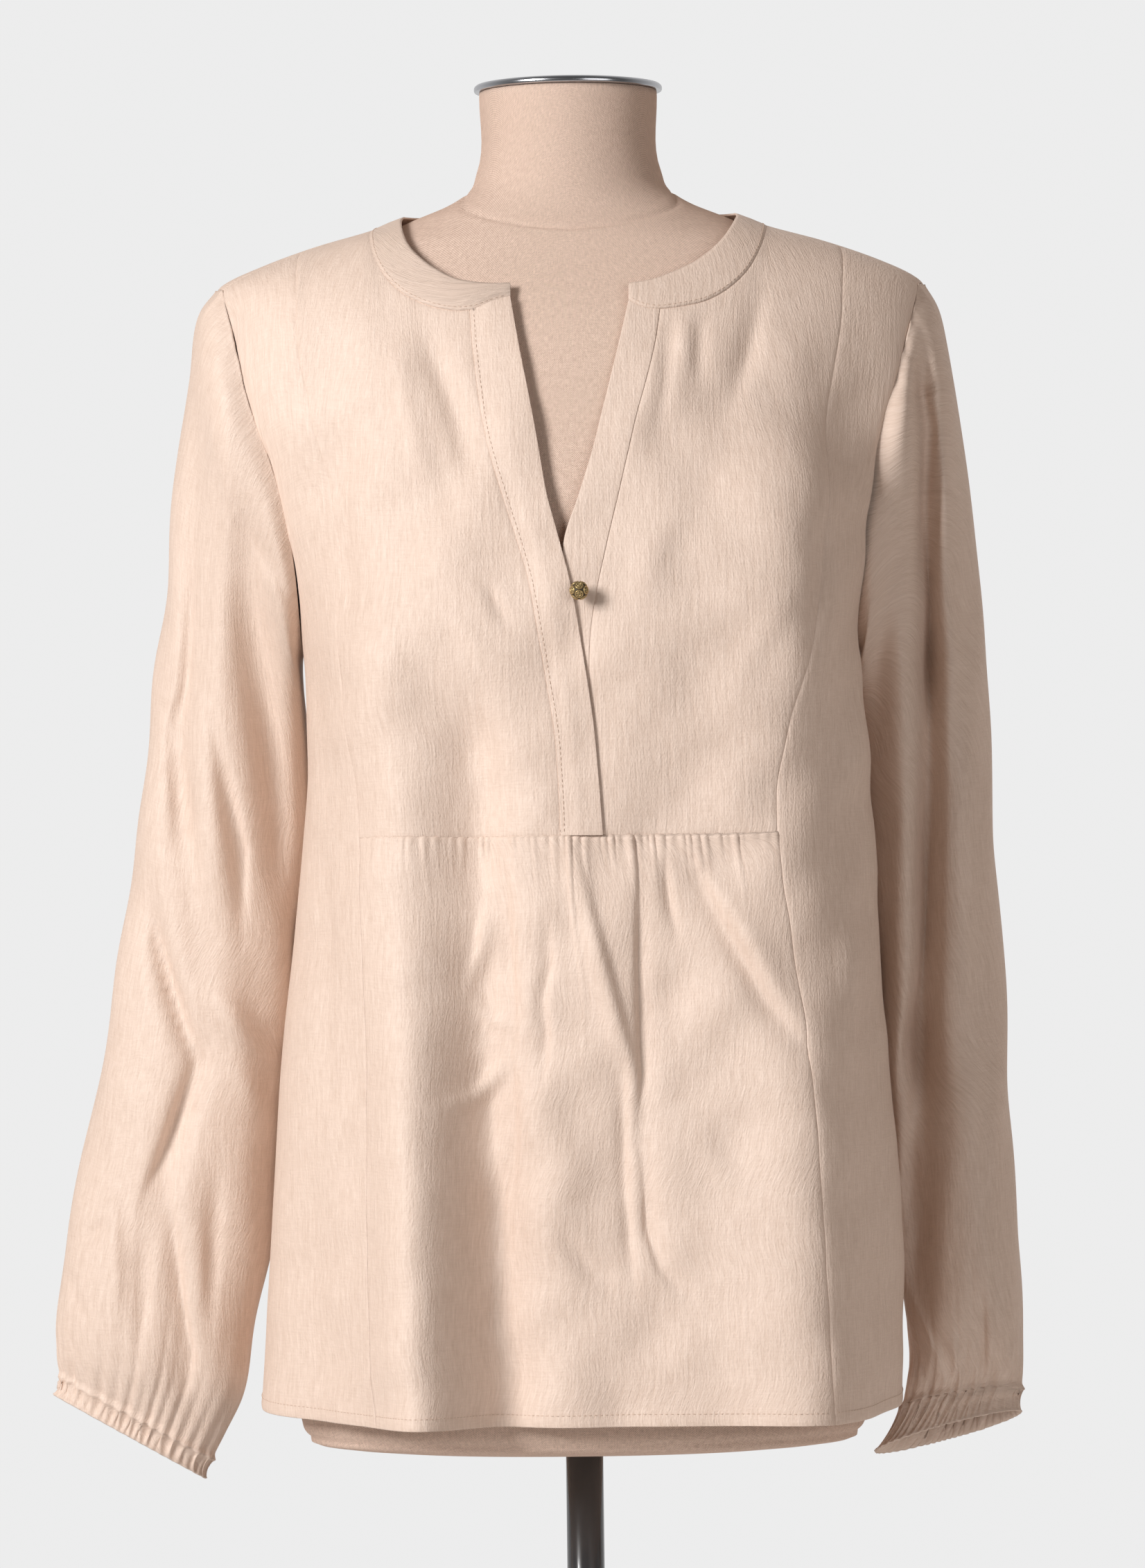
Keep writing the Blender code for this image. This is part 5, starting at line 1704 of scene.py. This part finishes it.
    def make(self) -> tuple[ClothPiece, ClothPiece]:
        """The sleeve and its cuff.

        Folds and creases move the points in depth, front and back. The gathers and the
        unevenness move them along the normals.

        Returns:
            The sleeve, then the cuff.
        """
        grid, turn = self.tube()
        grid = self.pressed(grid, turn)
        grid = grid - self.relief(grid, turn)[..., None] * self.side.value * grid_normals(grid, True)
        cuff = self.cuff(grid[-1], turn)
        grid[0] = inset_edge(grid[0], grid[1], ARMHOLE_INSET, closed=True)
        grid[-1] = inset_edge(grid[-1], grid[-2], SEAM_INSET, closed=True)
        return (self.piece("sleeve", grid, Cut(0.400, 0.660, 0.195), "side_front"),
                self.piece("cuff", cuff, Cut(0.270, 0.024, 0.0037), "sleeve"))

    def piece(self, name: str, grid: Array, cut: Cut, carrier: str) -> ClothPiece:
        """A closed piece of this side, its columns in the order that faces outward."""
        return ClothPiece(f"{name}_{self.side.word}", grid[::-1, ::-self.side.value], cut, -1, True,
                          held="gathered", rests_on=(f"{carrier}_{self.side.word}_cloth",))

    def pressed(self, grid: Array, turn: Array) -> Array:
        """Folds and creases pressed into the sleeve's front, and gentler ones into its back.

        Args:
            grid: the plain sleeve.
            turn: each column's turn round it.

        Returns:
            The pressed sleeve.
        """
        x, z = grid[..., 0], grid[..., 2]
        facing = np.sin(turn)[None, :]
        folds, creases = SLEEVE_FOLDS[self.side], SLEEVE_CREASES[self.side]
        front = (fold_relief(folds, x, z) + crease_relief(creases, x, z)) * ease(facing * 1.4)
        behind = fold_relief(folds, x - 9, z + 26) + crease_relief(creases, x - 6, z + 40)
        away = ease(np.linspace(0, 1, len(grid)) * 12)[:, None]
        out = grid.copy()
        out[..., 1] += (0.6 * behind * ease(-facing * 1.4) - front) * away
        return out

    def cuff(self, top: Array, turn: Array) -> Array:
        """The short ruched cuff from the sleeve's last loop to its own end, swelling between
        its two rows of stitches.

        Args:
            top: the sleeve's last loop.
            turn: each point's turn round it.

        Returns:
            The cuff's grid.
        """
        fine = np.linspace(0, 2 * np.pi, 2 * len(turn) - 1)
        top = smooth(turn, top, fine)
        end = self.loop(CUFF_END[self.side], fine, BACK_DROP[self.side], SLEEVE_SWING)
        t = np.linspace(0, 1, self.cuff_rows + 1)[:, None]
        grid = (1 - t[..., None]) * top + t[..., None] * end
        place = fine / (2 * np.pi) * self.ribs + 0.3 * np.sin(4 * fine)
        ribs = np.sin(np.pi * place) ** 2
        bulge = np.sin(np.pi * t) ** 0.6 * (self.cuff_swell + self.rib_out * ribs) + 0.5 * t * ribs
        grid = grid - bulge[..., None] * self.side.value * grid_normals(grid, True)
        grid[0] = inset_edge(grid[0], grid[1], SEAM_INSET, closed=True)
        return grid


@dataclass
class DressForm:
    """The limbless form: its canvas torso and neck, the steel cap, the pole and the base."""

    columns: int = 168
    seam: tuple[tuple[float, float], ...] = (
        (0, 1455), (0.45, 1458), (0.9, 1466), (1.35, 1478), (1.9, 1483), (2.5, 1480), (3.15, 1478))
    seam_deep: float = 1.1
    cap_radius: float = 53.0
    pole_radius: float = 10.5
    base_radius: float = 170.0

    def torso(self, material: Material) -> Piece:
        """The torso: rays from the axis meet the form's rings at each height, the bust is moved
        out along the normals and the neck's seam is sunk. Its top and bottom are closed by rows
        that shrink to the axis.

        Args:
            material: its finish.

        Returns:
            The piece.
        """
        low, high = FORM_RINGS[0].height, FORM_RINGS[-1].height
        heights = np.unique(np.concatenate([
            np.linspace(low, low + 20, 14), np.arange(low + 20, high, 6.0),
            np.arange(1449, 1489, 0.9), [high]]))
        turn = np.linspace(0, 2 * np.pi, self.columns + 1)
        rays = np.stack([np.sin(turn), -np.cos(turn), np.zeros_like(turn)], -1)
        middle = np.zeros((len(heights), len(turn), 3))
        middle[..., 2] = heights[:, None]
        base = FORM_BODY.between(middle, middle + 420 * rays)
        z = base[..., 2]
        knots, rise = np.array(self.seam).T
        seam = smooth(knots, rise, np.minimum(turn, 2 * np.pi - turn))
        relief = hump_relief(BUST, base)
        relief = relief - self.seam_deep * np.exp(-((z - seam) / 0.9) ** 2)
        grid = base + relief[..., None] * FORM_BODY.outward(base)
        shrink = np.linspace(0.0, 0.9, 7)[:, None, None]
        closing = [row * (1, 1, 0) * shrink + row * (0, 0, 1) for row in (grid[0], grid[-1])]
        grid = np.concatenate([closing[0], grid, closing[1][::-1]])
        uv = np.stack([np.broadcast_to(turn * 130, grid.shape[:2]), arc(grid, 0)], -1) * MM
        return claim(add_closed("form_torso_fine", grid, material, uv), "canvas", "form_torso")

    def stand(self, steel: Material, black: Material, base_steel: Material) -> None:
        """The cap, the pole and the base, turned from their profiles.

        Args:
            steel, black, base_steel: the finishes of the cap, the pole and the base.
        """
        r = self.cap_radius
        cap = ((0, 1541.5), (r - 3, 1541.5), (r - 1.2, 1541.2), (r - 0.3, 1540.4), (r, 1539.6), (r, 1538.4),
               (r - 0.3, 1537.8), (r - 0.9, 1537.6), (0, 1537.6))
        turned("neck_cap_fine", cap, steel, "cap_steel", "neck_cap")
        r = self.pole_radius
        pole = ((0, 775.7), (r - 0.6, 775.7), (r, 775.1), (r, 9.9), (r - 0.6, 9.3), (0, 9.3))
        turned("stand_pole_fine", pole, black, "pole_black", "stand_pole", 72)
        r = self.base_radius
        base = ((0, 9), (r - 3.2, 9), (r - 1.6, 8.6), (r - 0.5, 7.6), (r, 6.2), (r, 0.5),
                (r - 0.5, 0), (0, 0))
        turned("stand_base_fine", base, base_steel, "base_steel", "stand_base", 160)


def turned(name: str, profile: Sequence[tuple[float, float]], material: Material, slot: str, node: str,
           steps: int = 120) -> Piece:
    """A solid of revolution about Z.

    Args:
        name: the piece's name.
        profile: (radius, height) points that run down its outer side.
        material, slot, node: its finish, the record's slot and the solid it stands for.
        steps: columns round the axis.

    Returns:
        The piece, riding on the body.
    """
    piece = add_closed(name, lathe(profile[::-1], steps), material)
    piece.data.set_sharp_from_angle(angle=math.radians(SHARP_ANGLE))
    return claim(piece, slot, node)


@dataclass
class BallButton:
    """A filigree ball button with its shank, square to the front where the bands cross."""

    radius: float = 5.3
    shank: float = 1.5
    at: Seam = Seam(1250, 2.5)
    lift: float = 2.0
    band: float = 1.2
    clear: float = 0.7
    wire: float = 0.55
    foot: float = 1.5
    sunk: float = 0.9
    chamfer: float = 0.3
    steps: int = 90
    columns: int = 144

    def make(self, material: Material) -> Piece:
        """The ball's wire pattern: rings round twelve evenly spread flower centres and small
        loops round each stand out by up to half a millimetre, the gaps between them sink.

        Args:
            material: its finish.

        Returns:
            The ball.
        """
        seat = CLOTH_BODY.at_height([self.at.across], [self.at.height], Face.FRONT)
        normal = CLOTH_BODY.outward(seat)[0]
        seat = seat + hump_relief(BUST, seat)[:, None] * normal
        middle = self.lift + self.band + self.clear + self.radius
        lat = np.linspace(np.pi, 0, self.steps + 1)
        rays = lathe(tuple(zip(np.sin(lat), np.cos(lat))), self.columns)
        raised = self.filigree(rays)
        ball = rays * (self.radius - self.wire + self.wire * raised)[..., None] + (0, 0, middle)
        turn = np.array(Vector((0, 0, 1)).rotation_difference(Vector(normal)).to_matrix()).T
        # raised also drives the brass colour, so its low places get the painted hole shade.
        piece = add_closed("ball_button_fine", ball @ turn + seat[0], material, raised=raised)
        self.stem(middle - self.radius, turn, seat[0], material)
        return claim(piece, "button_brass", "ball_button")

    def stem(self, high: float, turn: Array, seat: Array, material: Material) -> None:
        """The shank under the ball, a short closed rod.

        Args:
            high: the ball's lowest height.
            turn: the rotation from Z to the front.
            seat: where it stands.
            material: its finish.
        """
        low, high, inner = self.foot, high + self.sunk, self.shank - self.chamfer
        profile = ((0, low), (inner, low), (self.shank, low + self.chamfer), (self.shank, high), (0, high))
        piece = add_closed("button_shank", lathe(profile, 24) @ turn + seat, material)
        claim(piece, "button_brass")

    def filigree(self, rays: Array) -> Array:
        """How far the wire stands out, 0 to 1, by the angle from each flower's centre.

        Args:
            rays: unit vectors from the ball's middle.

        Returns:
            One number a ray.
        """
        g = (1 + math.sqrt(5)) / 2
        centres = unit(np.array([(0, s, t * g) for s in (1, -1) for t in (1, -1)]
                                + [(s, t * g, 0) for s in (1, -1) for t in (1, -1)]
                                + [(t * g, 0, s) for s in (1, -1) for t in (1, -1)], float))
        angle = np.arccos(np.clip(rays @ centres.T, -1, 1))
        ring = np.exp(-((angle - 0.42) / 0.075) ** 2).max(-1)
        inner = np.exp(-((angle - 0.20) / 0.06) ** 2).max(-1)
        dot = np.exp(-(angle / 0.075) ** 2).max(-1)
        nearest = centres[angle.argmin(-1)]
        side = unit(np.cross(nearest, (0.3, 0.5, 0.8)))
        other = np.cross(nearest, side)
        spin = np.arctan2((rays * other).sum(-1), (rays * side).sum(-1))
        petals = 0.5 + 0.5 * np.cos(6 * spin)
        near = angle.min(-1)
        spokes = petals ** 3 * np.exp(-((near - 0.31) / 0.1) ** 2)
        return np.clip(np.maximum.reduce([ring, inner, dot, 0.8 * spokes]), 0, 1)


@dataclass
class Stitching:
    """Rows of small thread stitches laid on the cloth."""

    length: float = 2.1
    pitch: float = 3.0
    radius: float = 0.2
    points: list[Array] = field(default_factory=list)
    faces: list[Array] = field(default_factory=list)

    def row(self, line: Array, normals: Array) -> None:
        """Add a row of stitches along a line. Each is a five-sided bead, pointed at both ends
        and a little sunk at them.

        Args:
            line: points of the outer face.
            normals: its normals there.
        """
        run = np.concatenate([[0], np.cumsum(np.linalg.norm(np.diff(line, axis=0), axis=1))])
        at = np.arange(self.pitch, run[-1] - self.pitch, self.pitch)
        if not len(at):
            return
        ends = [np.stack([np.interp(at + side * self.length / 2, run, line[:, k]) for k in range(3)], -1)
                for side in (-1, 1)]
        up = unit(np.stack([np.interp(at, run, normals[:, k]) for k in range(3)], -1))
        along = unit(ends[1] - ends[0])
        side = np.cross(up, along)
        turn = np.linspace(0, 2 * np.pi, 6)[:-1]
        ring = np.cos(turn)[:, None] * side[:, None] + np.sin(turn)[:, None] * up[:, None]
        middle = (ends[0] + ends[1]) / 2
        loops = [middle[:, None] + (s * self.length * 0.38 * along)[:, None]
                 + self.radius * w * ring + (h * up)[:, None]
                 for s, w, h in ((-1, 0.75, 0.02), (0, 1, 0.1), (1, 0.75, 0.02))]
        tips = [end - 0.12 * up for end in ends]
        beads = np.concatenate([tips[0][:, None], *loops, tips[1][:, None]], 1)
        count = sum(len(p) for p in self.points)
        base = count + 17 * np.arange(len(at))[:, None, None]
        j = np.arange(5)
        after = (j + 1) % 5
        tri = [np.stack([np.zeros(5, int), 1 + after, 1 + j], -1),
               np.stack([np.full(5, 16), 11 + j, 11 + after], -1)]
        for low in (1, 6):
            tri.append(np.stack([low + j, low + after, low + 5 + after], -1))
            tri.append(np.stack([low + j, low + 5 + after, low + 5 + j], -1))
        self.points.append(beads.reshape(-1, 3))
        self.faces.append((base + np.concatenate(tri)[None]).reshape(-1, 3))

    def along_edge(self, piece: ClothPiece, distance: float, edge: str) -> None:
        """Add a row at a distance from one edge of a piece: bottom, top, left or right.

        Args:
            piece: the cloth.
            distance: how far from the edge.
            edge: which edge.
        """
        outer, normals = piece.outer(self.radius * 0.35)
        axis = 0 if edge in ("bottom", "top") else 1
        if edge in ("top", "right"):
            outer, normals = np.flip(outer, axis), np.flip(normals, axis)
        run = arc(outer, axis)
        if axis == 1:
            outer, normals, run = outer.swapaxes(0, 1), normals.swapaxes(0, 1), run.T
        above = np.clip((run < distance).sum(0), 1, len(run) - 1)
        lines = np.arange(run.shape[1])
        low, high = run[above - 1, lines], run[above, lines]
        t = ((distance - low) / np.maximum(high - low, 1e-9))[:, None]
        line = (1 - t) * outer[above - 1, lines] + t * outer[above, lines]
        self.row(line, unit((1 - t) * normals[above - 1, lines] + t * normals[above, lines]))

    def make(self, name: str, material: Material) -> Piece:
        """All rows as one piece.

        Args:
            name: the piece's name.
            material: its finish.

        Returns:
            The piece.
        """
        points, faces = np.concatenate(self.points), np.concatenate(self.faces)
        piece = add_mesh(name, points, faces, material,
                         (points[faces.ravel()][:, [0, 2]] * MM))
        return claim(piece, "cloth")


@dataclass
class Blouse:
    """The whole blouse."""

    pattern: Pattern = field(default_factory=Pattern)

    def make(self, material: Material, thread: Material) -> None:
        """Build every piece of cloth, then the stitches on them.

        Args:
            material: the cloth's finish.
            thread: the stitches' finish.
        """
        front, bands, back = Front(self.pattern), Bands(self.pattern), Back(self.pattern)
        sides = [front.side_front(side) for side in Side]
        skirt, panel = front.skirt(), back.panel()
        pieces = [*sides, skirt, panel, *(front.yoke(side) for side in Side)]
        plackets = [bands.placket(side) for side in Side]
        neckband = bands.neckband()
        pieces += [*plackets, neckband]
        for side in Side:
            pieces += Sleeve(self.pattern, side).make()
        for piece in pieces:
            piece.make(material)
        stitches = Stitching()
        for piece in (*sides, skirt, panel):
            stitches.along_edge(piece, HEM_STITCHES, "bottom")
        stitches.along_edge(plackets[0], BAND_STITCHES, "left")
        stitches.along_edge(neckband, NECK_STITCHES, "bottom")
        stitches.make("stitching", thread)


@dataclass
class Studio:
    """Camera, lights, floor and the pale surroundings."""

    eye: Triple = (-0.0022, -4.0, 1.08916)
    pitch: float = math.radians(0.8351)
    roll: float = math.radians(0.7018)
    lens: float = 163.16
    backdrop: Triple = (0.845, 0.845, 0.845)
    warmth: Triple = (1, 0.78, 0.63)
    dim: float = 0.10
    bright: float = 0.7
    floor_radius: float = 2.4
    fade_start: float = 1.1
    floor_height: float = -0.2

    def camera(self) -> None:
        """The camera at eye level, turned up by its pitch and rolled a little."""
        c, s = math.cos(self.roll), math.sin(self.roll)
        ahead = Vector((0, math.cos(self.pitch), math.sin(self.pitch)))
        level = Vector((1, 0, 0))
        rise = level.cross(ahead)
        right, up = c * level - s * rise, s * level + c * rise
        matrix = Matrix((right, up, -ahead)).transposed().to_4x4()
        matrix.translation = self.eye
        data = bpy.data.cameras.new("camera")
        data.lens, data.clip_end = self.lens, 60
        camera = bpy.data.objects.new("camera", data)
        bpy.context.scene.collection.objects.link(camera)
        camera.matrix_world = matrix
        bpy.context.scene.camera = camera

    def area(self, name: str, place: Triple, aim: Triple, size: tuple[float, float], power: float) -> None:
        """A rectangular soft light aimed at a point.

        Args:
            name: the light's name.
            place, aim: where it is and what it points at.
            size: its width and height.
            power: in watts.
        """
        data = bpy.data.lights.new(name, "AREA")
        data.shape, data.size, data.size_y, data.energy = "RECTANGLE", *size, power
        lamp = bpy.data.objects.new(name, data)
        lamp.location = place
        lamp.rotation_euler = (Vector(aim) - Vector(place)).to_track_quat("-Z", "Y").to_euler()
        bpy.context.scene.collection.objects.link(lamp)

    def surroundings(self) -> None:
        """Pale all round for the camera. As light it is bright behind the form, as a lit
        backdrop is, and dim in front."""
        nodes = Nodes("studio", world=True)
        bpy.context.scene.world = nodes.owner
        place = nodes.add("ShaderNodeTexCoord", {}, {}, "Generated")
        depth = nodes.add("ShaderNodeSeparateXYZ", {}, {0: place}, "Y")
        strength = nodes.add("ShaderNodeMapRange", {}, {
            "Value": depth, "From Min": -0.3, "From Max": 0.7,
            "To Min": self.dim, "To Max": self.bright})
        rays = {kind: nodes.add("ShaderNodeLightPath", {}, {}, kind)
                for kind in ("Is Diffuse Ray", "Is Camera Ray")}
        colour = nodes.mix(rays["Is Diffuse Ray"], (1, 1, 1), self.warmth)
        lit = nodes.add("ShaderNodeBackground", {}, {"Color": colour, "Strength": strength})
        shown = nodes.add("ShaderNodeBackground", {}, {"Color": (*self.backdrop, 1)})
        mixed = nodes.add("ShaderNodeMixShader", {}, {0: rays["Is Camera Ray"], 1: lit, 2: shown})
        nodes.set(nodes.tree.nodes.new("ShaderNodeOutputWorld"), {0: mixed})

    def floor(self) -> None:
        """A pale round floor that fades into the surroundings."""
        rings = [(radius / MM, self.floor_height) for radius in (0, 0.5, 1, 1.5, self.floor_radius)]
        nodes = Nodes("studio_floor")
        place = nodes.add("ShaderNodeTexCoord", {}, {}, "Object")
        far = nodes.add("ShaderNodeVectorMath", {"operation": "LENGTH"}, {0: place}, "Value")
        fade = nodes.add("ShaderNodeMapRange", {"interpolation_type": "SMOOTHSTEP"},
                         {0: far, 1: self.fade_start, 2: self.floor_radius, 3: 1.0, 4: 0.0})
        nodes.set(nodes.shader, {"Base Color": (0.82, 0.82, 0.82, 1), "Roughness": 0.8, "Alpha": fade})
        piece = add_closed("studio_floor", lathe(rings, 96), nodes.owner)

    def make(self) -> None:
        """Set the whole studio: the key light comes from the front left, a weak one from the
        front right."""
        self.camera()
        self.surroundings()
        self.floor()
        self.area("key", (-2.15, -2.2, 2.15), (0, 0, 1.12), (1.0, 1.2), 108)
        self.area("fill", (2.1, -3.0, 1.6), (0, 0, 1.1), (2.0, 2.0), 28)
        scene = bpy.context.scene
        scene.view_settings.view_transform = "Standard"
        scene.view_settings.look = "None"


def main() -> None:
    """Build the form, the blouse on it, the button and the studio, in that order."""
    logging.basicConfig(level=logging.INFO, format="%(message)s")
    cloth = ClothFinish().make()
    thread = ClothFinish("thread", (0.70, 0.54, 0.43), (0.55, 0.40, 0.31)).make()
    form = DressForm()
    form.torso(CanvasFinish().make())
    form.stand(MetalFinish("cap_steel_fine", (0.55, 0.55, 0.57), (0.42, 0.42, 0.44), 0.22).make(),
               MetalFinish("pole_black_fine", (0.028, 0.028, 0.03), (0.05, 0.05, 0.052), 0.2, 0.0,
                           (40, 40, 5), 0.5).make(),
               MetalFinish("base_steel_fine", (0.50, 0.50, 0.52), (0.40, 0.40, 0.42), 0.34).make())
    Blouse().make(cloth, thread)
    BallButton().make(BrassFinish().make())
    Studio().make()
    bpy.context.view_layer.update()


if __name__ == "__main__":
    main()
